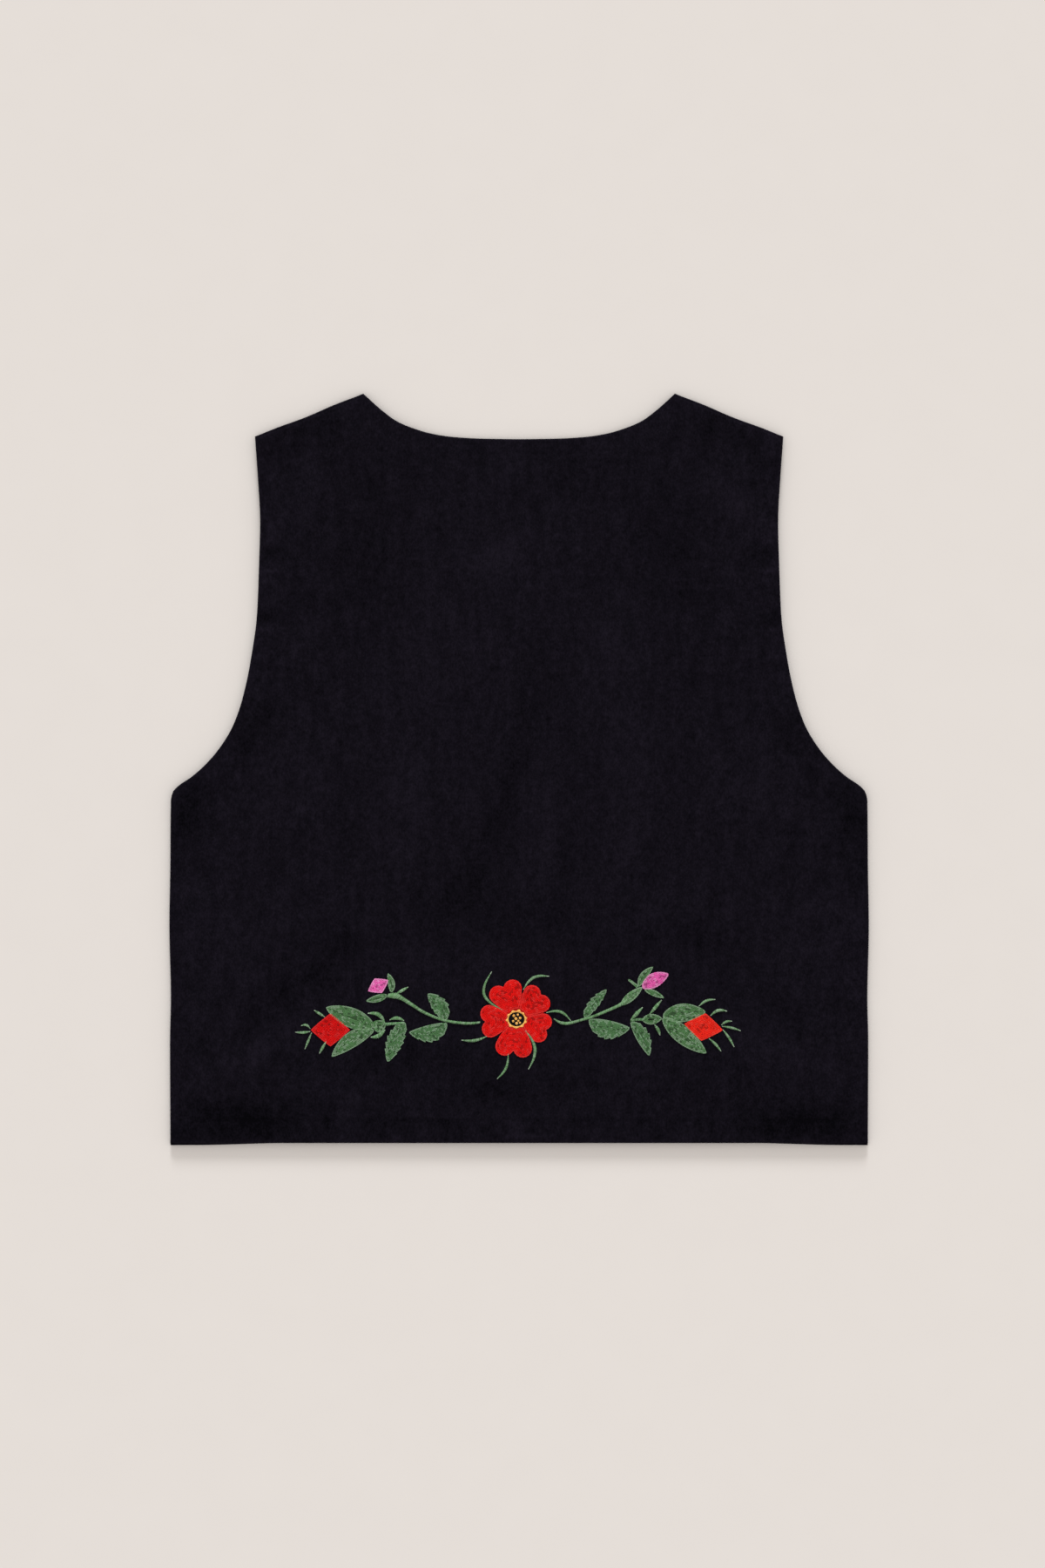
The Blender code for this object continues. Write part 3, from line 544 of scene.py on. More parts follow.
def grid_inside(loop, clear, pitch):
    loop = np.asarray(loop, float)
    lo, hi = loop.min(0), loop.max(0)
    rows = np.arange(lo[1], hi[1], pitch * 0.87)
    points = []
    for r, y in enumerate(rows):
        xs = np.arange(lo[0] + (r % 2) * pitch / 2, hi[0], pitch)
        points.append(np.column_stack([xs, np.full(len(xs), y)]))
    points = np.vstack(points)
    points = points[inside(loop, points)]
    closed = np.vstack([loop, loop[:1]])
    return points[line_distance(points, closed) > clear]


def pucker_points(loop):
    """Extra points about each narrow pucker, so that its ridge is kept."""
    out = []
    for x0, y0, x1, y1, half, _ in PUCKERS:
        a, way = np.array((x0, y0)), np.array((x1 - x0, y1 - y0))
        length = np.linalg.norm(way)
        if half < 2.0:
            across = np.array((-way[1], way[0])) / length
            for off in (-2.0, -1.2, -0.6, 0.0, 0.6, 1.2, 2.0):
                for s in np.arange(0.0, length, 1.3):
                    out.append(a + way * s / length + across * off * half)
    out = np.array(out)
    closed = np.vstack([loop, loop[:1]])
    return out[inside(loop, out) & (line_distance(out, closed) > 0.25)]


def cloth(name, cut, heights, mats, pitch, insets, mirror=False, nap=False):
    loop, runs = cut(pitch)
    rings = [inset(loop, s) for s in insets]
    inner = grid_inside(loop, insets[-1] + pitch * 0.8, pitch * 1.25)
    if nap:
        inner = np.vstack([inner, pucker_points(loop)])
    flat, tris = triangulate(loop, rings, inner)
    low, top = heights(flat, runs)
    # shades: painted shade and highlight for the velvet's colour
    shades = painted_velvet_shade(flat, runs) if nap else np.zeros(len(flat))
    if mirror:
        flat = flat * np.array((-1.0, 1.0))
        tris = tris[:, ::-1]
    ob = closed_sheet(name, flat, tris, low, top, mats)
    paint(ob, shades)
    x, y = np.array(loop).T
    area = abs(np.sum(x * np.roll(y, -1) - y * np.roll(x, -1))) / 2e6
    return ob, area


# ------------------------------------------------------------ materials
def srgb(red, green, blue):
    out = []
    for c in (red, green, blue):
        c = max(0.0, min(1.0, c / 255.0))
        out.append(c / 12.92 if c <= 0.04045 else ((c + 0.055) / 1.055) ** 2.4)
    return (*out, 1.0)


def shader(name, roughness, sheen=0.0, sheen_rough=0.4, tint=None, spec=0.4):
    mat = bpy.data.materials.new(name)
    mat.use_nodes = True
    tree = mat.node_tree
    node = tree.nodes["Principled BSDF"]
    node.inputs["Roughness"].default_value = roughness
    node.inputs["Specular IOR Level"].default_value = spec
    node.inputs["Sheen Weight"].default_value = sheen
    node.inputs["Sheen Roughness"].default_value = sheen_rough
    if tint:
        node.inputs["Sheen Tint"].default_value = tint
    return mat, tree, node


def mapped(tree, scale):
    coord = tree.nodes.new("ShaderNodeTexCoord")
    mapping = tree.nodes.new("ShaderNodeMapping")
    mapping.inputs["Scale"].default_value = scale
    tree.links.new(coord.outputs["Object"], mapping.inputs["Vector"])
    return mapping.outputs["Vector"]


def noise(tree, scale, stretch=(1, 1, 1), detail=3.0, rough=0.55):
    node = tree.nodes.new("ShaderNodeTexNoise")
    node.inputs["Scale"].default_value = scale
    node.inputs["Detail"].default_value = detail
    node.inputs["Roughness"].default_value = rough
    tree.links.new(mapped(tree, stretch), node.inputs["Vector"])
    return node.outputs["Fac"]


def mix_value(tree, kind, a, b):
    node = tree.nodes.new("ShaderNodeMath")
    node.operation = kind
    for i, value in enumerate((a, b)):
        if isinstance(value, (int, float)):
            node.inputs[i].default_value = value
        else:
            tree.links.new(value, node.inputs[i])
    return node.outputs[0]


def ramp(tree, fac, stops):
    node = tree.nodes.new("ShaderNodeValToRGB")
    while len(node.color_ramp.elements) < len(stops):
        node.color_ramp.elements.new(0.5)
    for element, (place, colour) in zip(node.color_ramp.elements, stops):
        element.position = place
        element.color = colour
    tree.links.new(fac, node.inputs["Fac"])
    return node.outputs["Color"]


def bump(tree, height, strength, distance, target):
    node = tree.nodes.new("ShaderNodeBump")
    node.inputs["Strength"].default_value = strength
    node.inputs["Distance"].default_value = distance
    tree.links.new(height, node.inputs["Height"])
    tree.links.new(node.outputs["Normal"], target.inputs["Normal"])


def velvet_material(name):
    """Short dense pile: deep black, mottled where the nap lies differently, with painted
    shade and highlight of folds and edges read from the nap attribute.
    """
    mat, tree, node = shader(name, 0.90, 0.06, 0.30, (0.78, 0.70, 0.98, 1), 0.03)
    mottle = noise(tree, 230.0, (1.0, 0.85, 1.0), 3.0, 0.6)
    grain = noise(tree, 900.0, (1.0, 0.6, 1.0), 2.0, 0.6)
    brushed_in = noise(tree, 80.0, (1.7, 0.55, 1.0), 2.0, 0.5)
    # the nap attribute holds painted shade and highlight, added into the base colour
    # below
    painted_shade_node = tree.nodes.new("ShaderNodeAttribute")
    painted_shade_node.attribute_name = "nap"
    parts = mix_value(tree, "ADD", mix_value(tree, "MULTIPLY", mottle, 0.36),
                      mix_value(tree, "ADD",
                                mix_value(tree, "MULTIPLY", brushed_in, 0.20),
                                mix_value(tree, "MULTIPLY", grain, 0.44)))
    blend = mix_value(tree, "ADD", mix_value(tree, "SUBTRACT", parts, 0.5),
                      painted_shade_node.outputs["Fac"])
    tree.links.new(ramp(tree, blend, (
        (0.30, srgb(4, 3, 6)), (0.50, srgb(15.5, 12.5, 19.5)),
        (0.70, srgb(26, 22, 31)))), node.inputs["Base Color"])
    pile = noise(tree, 1900.0, (1, 1, 1), 2.0, 0.7)
    nap = mix_value(tree, "ADD", mix_value(tree, "MULTIPLY", pile, 0.6),
                    mix_value(tree, "MULTIPLY", mottle, 0.8))
    bump(tree, nap, 0.5, 0.0005, node)
    return mat


def thread_material(name, colour, lift=1.0, sheen=0.0):
    """Stranded cotton: soft lustre, the strands' twist as fine bump."""
    mat, tree, node = shader(name, 0.55, sheen, 0.5, None, 0.10)
    red, green, blue = (c * lift for c in colour)
    fleck = noise(tree, 1400.0, (1, 1, 1), 2.0, 0.6)
    tone = noise(tree, 220.0, (1, 1, 1), 2.0, 0.5)
    blend = mix_value(tree, "ADD", mix_value(tree, "MULTIPLY", fleck, 0.6),
                      mix_value(tree, "MULTIPLY", tone, 0.4))
    tree.links.new(ramp(tree, blend, (
        (0.30, srgb(red * 0.82, green * 0.80, blue * 0.80)),
        (0.52, srgb(red, green, blue)),
        (0.72, srgb(red * 1.10, green * 1.12, blue * 1.12)))),
        node.inputs["Base Color"])
    bump(tree, fleck, 0.35, 0.0002, node)
    return mat


velvet = velvet_material("black_velvet")


def blend_white(colour, share):
    """The colour moved a share of the way to a pale one."""
    return tuple(c + (215.0 - c) * share for c in colour)


def tones(name, colour, edge=0.12, dark=0.74, pale=None):
    """Mid, light, dark and edge threads of one colour; the dark one also serves as
    painted shade under the rows.
    """
    return [thread_material(name + "_mid", colour),
            thread_material(name + "_light", blend_white(colour, edge)),
            thread_material(name + "_dark", colour, dark),
            thread_material(name + "_tip", pale or colour, 1.0 if pale else 1.25)]


RED = tones("thread_red", (232, 18, 14), 0.14, 0.78)
CRIMSON = tones("thread_crimson", (222, 14, 14), 0.12, 0.76)
VERMILION = tones("thread_vermilion", (244, 40, 24), 0.10, 0.80)
ROSE = tones("thread_rose", (250, 112, 192), 0.34, 0.76)
MAUVE = tones("thread_mauve", (234, 100, 178), 0.34, 0.78)
GREEN = tones("thread_green", (84, 126, 80), 0.30, 0.68, (158, 176, 152))
SAGE = tones("thread_sage", (86, 128, 80), 0.30, 0.68, (156, 176, 152))
REED = tones("thread_reed", (102, 142, 96), 0.26, 0.78, (162, 180, 156))
YELLOW = tones("thread_yellow", (255, 190, 98), 0.10, 0.86)
BLACK = tones("thread_black", (10, 7, 10), 0.04, 0.8)

# ------------------------------------------------------------ velvet panels
back, back_area = cloth(
    "velvet_back", back_cut, back_heights, [velvet], 3.6,
    (0.10, 0.35, 0.75, 1.2, 1.6, 2.1, 2.7, 3.3, 5.0, 7.2, 9.4, 11.0, 12.8,
     14.2, 15.4, 16.6, 18.0, 20.2, 23.0), nap=True)
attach(back, "root")
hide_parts("back_panel")

for side, flip in (("right", False), ("left", True)):
    front, front_area = cloth(
        "velvet_front_" + side, front_cut, front_heights, [velvet], 6.0,
        (0.12, 0.45, 0.85, 1.25, 2.1, 3.3, 14.8, 16.4, 18.2), flip)
    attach(front, "root")
    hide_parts("front_" + side)


# ------------------------------------------------------------ stitches
class Stitches:
    """Tubes of thread gathered into one mesh, heights above the velvet."""

    def __init__(self):
        self.verts, self.faces, self.tones, self.count = [], [], [], 0

    def tube(self, path, radius, tone, sides=4, closed=False, flat=1.0):
        """One thread; tone is one number, or one for each stretch of it."""
        path = np.asarray(path, float)
        n = len(path)
        if closed:
            run = np.roll(path, -1, axis=0) - np.roll(path, 1, axis=0)
        else:
            run = np.gradient(path, axis=0)
        run /= np.maximum(np.linalg.norm(run, axis=1), 1e-9)[:, None]
        side = np.cross(run, (0.0, 0.0, 1.0))
        side /= np.maximum(np.linalg.norm(side, axis=1), 1e-9)[:, None]
        up = np.cross(side, run)
        radius = np.broadcast_to(np.asarray(radius, float), (n,))
        for k in range(sides):
            a = 2 * math.pi * (k + 0.5) / sides
            self.verts.append(path + radius[:, None] * (
                math.cos(a) * side + flat * math.sin(a) * up))
        base = self.count
        last = n if closed else n - 1
        tone = np.broadcast_to(np.asarray(tone, int), (last,))
        for k in range(sides):
            j = (k + 1) % sides
            for i in range(last):
                m = (i + 1) % n
                self.faces.append((base + k * n + i, base + k * n + m,
                                   base + j * n + m, base + j * n + i))
                self.tones.append(int(tone[i]))
        if not closed:
            self.faces.append([base + k * n for k in range(sides)])
            self.faces.append([base + k * n + n - 1
                               for k in reversed(range(sides))])
            self.tones += [int(tone[0]), int(tone[-1])]
        self.count += n * sides

    def pad(self, loop, rise, tone, edge=0.5):
        """Low ground under the stitches, so that no velvet shows; in the dark tone it is
        painted shade between the rows.
        """
        ring = inset(loop, edge)
        flat, tris = triangulate(loop, [ring] if len(ring) > 3 else [], [])
        closed = np.vstack([loop, loop[:1]])
        share = ease(line_distance(flat, closed), 0.0, edge)
        top = np.column_stack([flat, 0.02 + rise * share])
        base = self.count
        self.verts.append(top)
        for t in tris:
            self.faces.append([base + int(i) for i in t])
            self.tones.append(tone)
        self.count += len(top)

    def build(self, name, mats):
        pts = np.vstack(self.verts)
        z = field(pts[:, :2]) + pts[:, 2]
        out = np.column_stack([pts[:, 0], pts[:, 1] - MIDDLE, z]) * MM
        return link(name, out, self.faces, mats, self.tones)


DICE = np.random.default_rng(21)


def resample(line, pitch, closed):
    line = np.asarray(line, float)
    if closed:
        line = np.vstack([line, line[:1]])
    run = np.concatenate([[0], np.cumsum(
        np.linalg.norm(np.diff(line, axis=0), axis=1))])
    n = max(4, int(round(run[-1] / pitch)))
    at = np.linspace(0, run[-1], n + 1)
    return np.column_stack([np.interp(at, run, line[:, i]) for i in (0, 1)])


def chain_row(st, line, closed, length, width, radius, lift, weights):
    """A row of chain stitches: two strands that part and meet again."""
    line = np.asarray(line, float)
    total = np.linalg.norm(np.diff(
        np.vstack([line, line[:1]]) if closed else line, axis=0), axis=1).sum()
    links = max(1, int(round(total / length)))
    per = 4
    pts = resample(line, total / (links * per), closed)
    if closed:
        pts = pts[:-1]
    n = len(pts)
    if n < 4:
        return
    run = (np.roll(pts, -1, axis=0) - np.roll(pts, 1, axis=0)) if closed \
        else np.gradient(pts, axis=0)
    run /= np.maximum(np.linalg.norm(run, axis=1), 1e-9)[:, None]
    across = np.stack([-run[:, 1], run[:, 0]], 1)
    step = np.arange(n) + DICE.integers(0, per)
    part = np.array((0.30, 0.80, 1.0, 0.84))[step % per]
    rise = np.array((0.0, 0.05, 0.12, 0.10))[step % per]
    tone = DICE.choice(3, size=n // per + 3, p=weights)[step // per]
    wide = width * DICE.uniform(0.92, 1.08, n)
    for sign in (-1.0, 1.0):
        off = sign * part * (wide / 2 - radius * 0.7)
        path = np.column_stack([pts + off[:, None] * across, lift + rise])
        st.tube(path, radius * (0.9 + 0.1 * part), tone if closed else tone[:-1],
                5, closed)


def contour_rows(loop, first, pitch, cell=0.2):
    """Closed lines at even distances inside a loop, outermost first."""
    loop = np.asarray(loop, float)
    lo, hi = loop.min(0) - cell, loop.max(0) + cell
    xs = np.arange(lo[0], hi[0] + cell, cell)
    ys = np.arange(lo[1], hi[1] + cell, cell)
    gx, gy = np.meshgrid(xs, ys)
    grid = np.column_stack([gx.ravel(), gy.ravel()])
    closed = np.vstack([loop, loop[:1]])
    dist = line_distance(grid, closed)
    dist[~inside(loop, grid)] *= -1
    dist = dist.reshape(gx.shape)
    # crossings read at a level that no grid point sits on
    out, level = [], first
    while dist.max() > level + 0.05:
        f = dist - (level + 1e-7)
        hor, ver = {}, {}
        sh = (f[:, :-1] > 0) != (f[:, 1:] > 0)
        for r, c in zip(*np.nonzero(sh)):
            t = f[r, c] / (f[r, c] - f[r, c + 1])
            hor[(r, c)] = (xs[c] + t * cell, ys[r])
        sv = (f[:-1, :] > 0) != (f[1:, :] > 0)
        for r, c in zip(*np.nonzero(sv)):
            t = f[r, c] / (f[r, c] - f[r + 1, c])
            ver[(r, c)] = (xs[c], ys[r] + t * cell)
        near = {}
        cells = set()
        for r, c in hor:
            cells.update(((r, c), (r - 1, c)))
        for r, c in ver:
            cells.update(((r, c), (r, c - 1)))
        for r, c in cells:
            if r < 0 or c < 0 or r >= len(ys) - 1 or c >= len(xs) - 1:
                continue
            hits = [k for k in (("h", r, c), ("v", r, c + 1), ("h", r + 1, c),
                                ("v", r, c))
                    if (k[1:] in (hor if k[0] == "h" else ver))]
            for i in range(0, len(hits) - 1, 2):
                near.setdefault(hits[i], []).append(hits[i + 1])
                near.setdefault(hits[i + 1], []).append(hits[i])
        left = set(near)
        while left:
            key = min(left)
            chain = []
            while key is not None:
                chain.append(key)
                left.discard(key)
                key = next((k for k in near[key] if k in left), None)
            if len(chain) > 6:
                out.append((level, np.array(
                    [(hor if k[0] == "h" else ver)[k[1:]] for k in chain])))
        level += pitch
    return out


def filled(st, loop, pitch=1.22, length=2.0, width=1.04, radius=0.265,
           weights=(0.68, 0.20, 0.12), edge=(0.08, 0.92, 0.0), rise=0.30):
    """A shape filled with rows of chain stitch that follow its outline."""
    loop = np.asarray(loop, float)
    x, y = loop.T
    if np.sum(x * np.roll(y, -1) - y * np.roll(x, -1)) < 0:
        loop = loop[::-1]
    # dark-toned ground: painted shade in the grooves between the rows
    st.pad(loop, rise, 2)
    for level, line in contour_rows(loop, pitch * 0.40, pitch):
        first = level < pitch * 0.6
        chain_row(st, line, True, length, width, radius,
                  rise + (0.0 if first else 0.10),
                  edge if first else weights)


def smooth_route(route, per=8):
    rows = np.asarray(route, float)
    ext = np.vstack([2 * rows[0] - rows[1], rows, 2 * rows[-1] - rows[-2]])
    out = []
    for i in range(len(rows) - 1):
        a, b, c, d = ext[i:i + 4]
        for k in range(per):
            t = k / per
            out.append(0.5 * (2 * b + (c - a) * t
                              + (2 * a - 5 * b + 4 * c - d) * t * t
                              + (3 * b - a - 3 * c + d) * t ** 3))
    out.append(rows[-1])
    return np.array(out)


def satin(st, route, pitch=0.40, slant=0.12, radius=0.25, tips=0.06,
          crown=0.22, weights=(0.58, 0.34, 0.08), thin=1.0):
    """Satin stitch: strands laid side by side across a strip."""
    rows = smooth_route(route)
    run = np.concatenate([[0], np.cumsum(
        np.linalg.norm(np.diff(rows[:, :2], axis=0), axis=1))])
    count = max(4, int(run[-1] / pitch))
    for i in range(count + 1):
        s = run[-1] * i / count
        c = np.array([np.interp(s, run, rows[:, k]) for k in range(3)])
        e = np.array([np.interp(min(run[-1], s + 0.3), run, rows[:, k])
                      - np.interp(max(0.0, s - 0.3), run, rows[:, k])
                      for k in (0, 1)])
        e /= np.linalg.norm(e)
        n = np.array((-e[1], e[0]))
        half = max(0.16, thin * c[2] / 2 - radius * 0.4) * DICE.uniform(
            0.93, 1.07)
        u = np.linspace(-1, 1, 5)
        lean = slant + DICE.uniform(-0.06, 0.06)
        xy = c[:2] + (u * half)[:, None] * n + (u * half * lean)[:, None] * e
        z = 0.14 + (0.10 + crown * c[2]) * np.sqrt(1 - 0.92 * u * u)
        share = i / count
        if share > 1 - tips or share < tips * 0.4:
            tone = 3
        else:
            tone = int(DICE.choice(3, p=weights))
        st.tube(np.column_stack([xy, z]),
                radius * np.array((0.7, 1.0, 1.05, 1.0, 0.7)), tone, 5)


def blade(share, full):
    """Half width of a leaf, sepal or leaf-shaped bud, from base to tip."""
    share = np.asarray(share, float)
    swell = np.clip(np.sin(np.pi * share ** 0.9), 0.0, None) ** 0.7
    return full * swell + 0.4 * (1.0 - share)


TOOTH = 4.6                      # length of a leaf's tooth along its edge
TOOTH_DEPTH = 1.5                # height of a tooth on a broad side


def leaf(base, tip, left, right, toothed=False):
    """Leaf outline from its full half widths to the left and right.

    A toothed leaf has an even saw edge on each side broader than 2.2 mm.
    """
    base, tip = np.asarray(base, float), np.asarray(tip, float)
    axis = tip - base
    length = np.linalg.norm(axis)
    n = np.array((-axis[1], axis[0])) / length
    sides = []
    for full, way in ((left, 1.0), (right, -1.0)):
        t = np.linspace(0.0, 1.0, 100)
        width = blade(t, full)
        if toothed and full > 2.2:
            saw = 1.0 - np.mod((t - 0.12) * length / TOOTH, 1.0)
            depth = TOOTH_DEPTH * min(1.0, full / 5.0)
            width = width + np.where((t > 0.12) & (t < 0.82),
                                     depth * (saw - 0.6), 0.0)
        sides.append(base + t[:, None] * axis + (way * width)[:, None] * n)
    loop = np.vstack([sides[1], sides[0][-2:0:-1]])
    keep = np.linalg.norm(loop - np.roll(loop, 1, axis=0), axis=1) > 0.10
    return loop[keep]


def curl(base, tip, bow, width, ends=0.25):
    """Route of a small crescent: x, y and width, bowed to the left of its way."""
    base, tip = np.asarray(base, float), np.asarray(tip, float)
    way = tip - base
    side = np.array((-way[1], way[0])) / np.linalg.norm(way)
    route = []
    for t in np.linspace(0.0, 1.0, 5):
        swell = math.sin(math.pi * t)
        x, y = base + way * t + side * bow * swell
        route.append((x, y, width * (ends + (1.0 - ends) * swell)))
    return route


def diamond(centre, long, wide, tilt):
    """Corners of a bud, clockwise from its left, turned by tilt degrees."""
    c, s = math.cos(math.radians(tilt)), math.sin(math.radians(tilt))
    return [(centre[0] + x * c - y * s, centre[1] + x * s + y * c)
            for x, y in ((-long, 0.0), (0.0, wide), (long, 0.0), (0.0, -wide))]


def lobes(first, second, reach):
    """A petal's two equal lobes: bearing, distance out and radius of each."""
    radius, middle = LOBE * reach, (first + second) / 2.0
    return [(math.radians(middle + k * 0.21 * (second - first)),
             reach - radius, radius) for k in (-1.0, 1.0)]


def quad(corners, bows, steps=7):
    """Bud outline: four corners clockwise, each side bowed outward a little."""
    out = []
    c = np.asarray(corners, float)
    for i in range(4):
        a, b = c[i], c[(i + 1) % 4]
        d = (b - a) / np.linalg.norm(b - a)
        n = np.array((-d[1], d[0]))
        for k in range(steps):
            t = k / steps
            out.append(a + (b - a) * t + n * bows[i] * math.sin(math.pi * t))
    return np.array(out)[::-1]


# ------------------------------------------------------------ the round flower
CENTRE = np.array((-1.6, 86.0))
SLIT = 13.5                      # how far out the slits between petals begin
LOBE = 0.24                      # radius of a lobe, as a share of the reach
# The five petals in turn, each from one slit to the next.
PETALS = (
    # bearing of its first slit, of its second, reach
    (-55.0, 12.0, 24.5),
    (12.0, 77.0, 26.0),
    (77.0, 149.0, 27.0),
    (149.0, 223.0, 25.5),
    (223.0, 305.0, 27.5),
)


def petal_edge(index):
    """Outer edge of a petal, made of its rounded lobes, slit to slit."""
    first, second, reach = PETALS[index]
    angles = np.radians(np.linspace(first, second, 64))
    out = np.full(len(angles), np.nan)
    for bearing, far, radius in lobes(first, second, reach):
        off = np.abs((angles - bearing + np.pi) % (2 * np.pi) - np.pi)
        part = radius ** 2 - (far * np.sin(off)) ** 2
        hit = (part > 0) & (off < np.pi / 2)
        edge = far * np.cos(off) + np.sqrt(np.clip(part, 0, None))
        out[hit] = np.fmax(out[hit], edge[hit])
    out[0] = out[-1] = SLIT
    good = ~np.isnan(out)
    out = np.interp(angles, angles[good], out[good])
    return np.column_stack([out * np.cos(angles),
                            out * np.sin(angles)]), first, second


def apart(loop, least=0.12):
    """The loop without points that nearly coincide."""
    return loop[np.linalg.norm(loop - np.roll(loop, 1, axis=0), axis=1) > least]


def petal(index, gap=0.16, inner=6.6):
    """One petal: its edge, its two slit sides and its root at the eye."""
    edge, lo, hi = petal_edge(index)
    arc = np.radians(np.linspace(hi, lo, 8))
    root = np.column_stack([inner * np.cos(arc), inner * np.sin(arc)])
    return inset(apart(np.vstack([edge, root]) + CENTRE), gap)


def flower_shade_ground(gap=1.0):
    """Ground under all five petals, so that no velvet shows between them; laid in dark
    red, it is painted shade in the slits.
    """
    edges = [petal_edge(i)[0][:-1] for i in range(5)]
    return inset(apart(np.vstack(edges) + CENTRE, 0.3), gap)


def show(st, name, node, mats):
    ob = st.build(name, mats)
    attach(ob, "root")
    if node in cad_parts:
        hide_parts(node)
    return ob


st = Stitches()
# dark red ground under the petals: painted shade between them
st.pad(flower_shade_ground(), 0.16, 2)
for i in range(5):
    filled(st, petal(i))
show(st, "flower_stitches", "flower", RED)

EYE = CENTRE + np.array((-0.2, -0.6))


def eye_point(radius, turn, height=None):
    """A point of the flower's eye, which is a little wider than high."""
    p = EYE + radius * np.array((math.cos(turn), 0.90 * math.sin(turn)))
    return p if height is None else np.append(p, height)


st = Stitches()
st.pad(np.array([eye_point(5.8, a) for a in
                 np.linspace(0, 2 * math.pi, 28)[:-1]]), 0.42, 0)
for radius in (4.7, 3.8, 1.1):
    chain_row(st, [eye_point(radius, a) for a in
                   np.linspace(0, 2 * math.pi, 24)[:-1]],
              True, 1.7, 1.1, 0.30, 0.44, (0.6, 0.2, 0.2))
show(st, "flower_eye_black", None, BLACK)

st = Stitches()
RAYS = (
    # bearing, inner, outer, half width of each ray of the eye
    (8, 5.7, 7.3, 0.85), (44, 5.8, 7.0, 0.75), (76, 5.6, 7.5, 1.0),
    (113, 5.7, 7.2, 0.9), (150, 5.8, 7.0, 0.8), (186, 5.6, 7.4, 0.75),
    (229, 5.7, 7.4, 0.95), (268, 5.6, 7.1, 1.0), (309, 5.7, 7.3, 0.9),
    (343, 5.6, 7.4, 0.8),
)
chain_row(st, [eye_point(6.0, a) for a in np.linspace(0, 2 * math.pi, 30)[:-1]],
          True, 1.5, 0.95, 0.27, 0.56, (0.6, 0.3, 0.1))
for bearing, inner, outer, half in RAYS:
    a = math.radians(bearing)
    n = np.array((-math.sin(a), math.cos(a), 0.0))
    for off in (-1.0, -0.5, 0.0, 0.5, 1.0):
        pts = [eye_point(inner, a, 0.55) + n * off * half * 1.05,
               eye_point((inner + outer) / 2, a, 1.0 - 0.12 * abs(off)) + n * off * half,
               eye_point(outer - 0.35 * abs(off), a, 0.50) + n * off * half * 0.55]
        st.tube(pts, 0.30, int(DICE.choice(3, p=(0.5, 0.4, 0.1))), 5)
KNOTS = (
    # from the eye's middle: x, y, then the knot's radius
    (-1.8, 2.4, 0.74), (0.9, 3.1, 0.58), (-0.4, 0.4, 0.78), (2.5, 0.9, 0.70),
    (-2.3, -1.3, 0.62), (1.3, -1.1, 0.52), (0.1, -2.8, 0.74), (2.4, -2.4, 0.44),
)
for x, y, size in KNOTS:
    for level, share in ((0.70, 1.0), (0.98, 0.62)):
        ring = [(EYE[0] + x + share * size * math.cos(a),
                 EYE[1] + y + share * size * math.sin(a), level)
                for a in np.linspace(0, 2 * math.pi, 9)[:-1]]
        st.tube(ring, 0.27, int(DICE.choice(3, p=(0.5, 0.3, 0.2))), 5, True)
show(st, "flower_eye_yellow", "flower_centre", YELLOW)

# ------------------------------------------------------------ satin strips
CURLS = (
    # name, base, tip, bow, width
    ("tendril_1", (-12.0, 92.0), (-19.0, 118.0), 9.0, 2.6),
    ("tendril_2", (3.0, 106.0), (20.5, 115.0), 4.0, 2.5),
    ("tendril_3", (19.0, 90.0), (35.5, 84.5), 3.5, 2.4),
    ("tendril_4", (4.5, 77.5), (6.5, 51.0), 5.5, 2.8),
    ("tendril_5", (-7.5, 61.5), (-15.0, 44.5), 2.5, 2.3),
    ("tendril_6", (-22.5, 73.5), (-39.5, 71.0), 1.5, 2.6),
    ("hook_left", (-92.5, 82.5), (-104.0, 89.5), -3.0, 3.0),
    ("tail_left", (-92.5, 78.0), (-102.0, 73.0), 1.5, 3.2),
    ("bract_left", (-79.5, 84.5), (-89.0, 85.0), -1.5, 2.6),
    ("bract_right", (77.0, 85.0), (85.0, 93.5), 0.0, 2.9),
    ("hook_right", (90.0, 89.0), (98.0, 98.5), 0.0, 2.5),
    ("tail_right", (93.5, 81.5), (97.0, 74.5), 0.5, 2.6),
    ("leaflet_pl", (-84.5, 103.0), (-76.5, 107.5), 0.0, 2.4),
)
STEMS = (
    # name, route: x, y, width
    ("stem_left", ((-27.2, 83.2, 1.6), (-33.0, 82.6, 2.1), (-39.7, 82.8, 2.2),
                   (-49.0, 84.1, 2.2), (-57.0, 86.4, 2.2), (-66.4, 90.6, 2.4),
                   (-73.7, 95.3, 2.7), (-80.6, 99.6, 3.4), (-85.3, 101.6, 4.8),
                   (-90.4, 101.8, 3.2))),
    ("stem_right", ((24.1, 85.6, 0.9), (28.1, 83.3, 2.1), (32.9, 82.5, 2.4),
                    (38.3, 83.6, 2.1), (43.5, 85.1, 2.1), (50.3, 87.0, 2.2),
                    (57.7, 90.0, 2.3), (66.7, 93.9, 2.5), (71.6, 96.6, 3.0),
                    (74.6, 98.5, 2.6))),
)
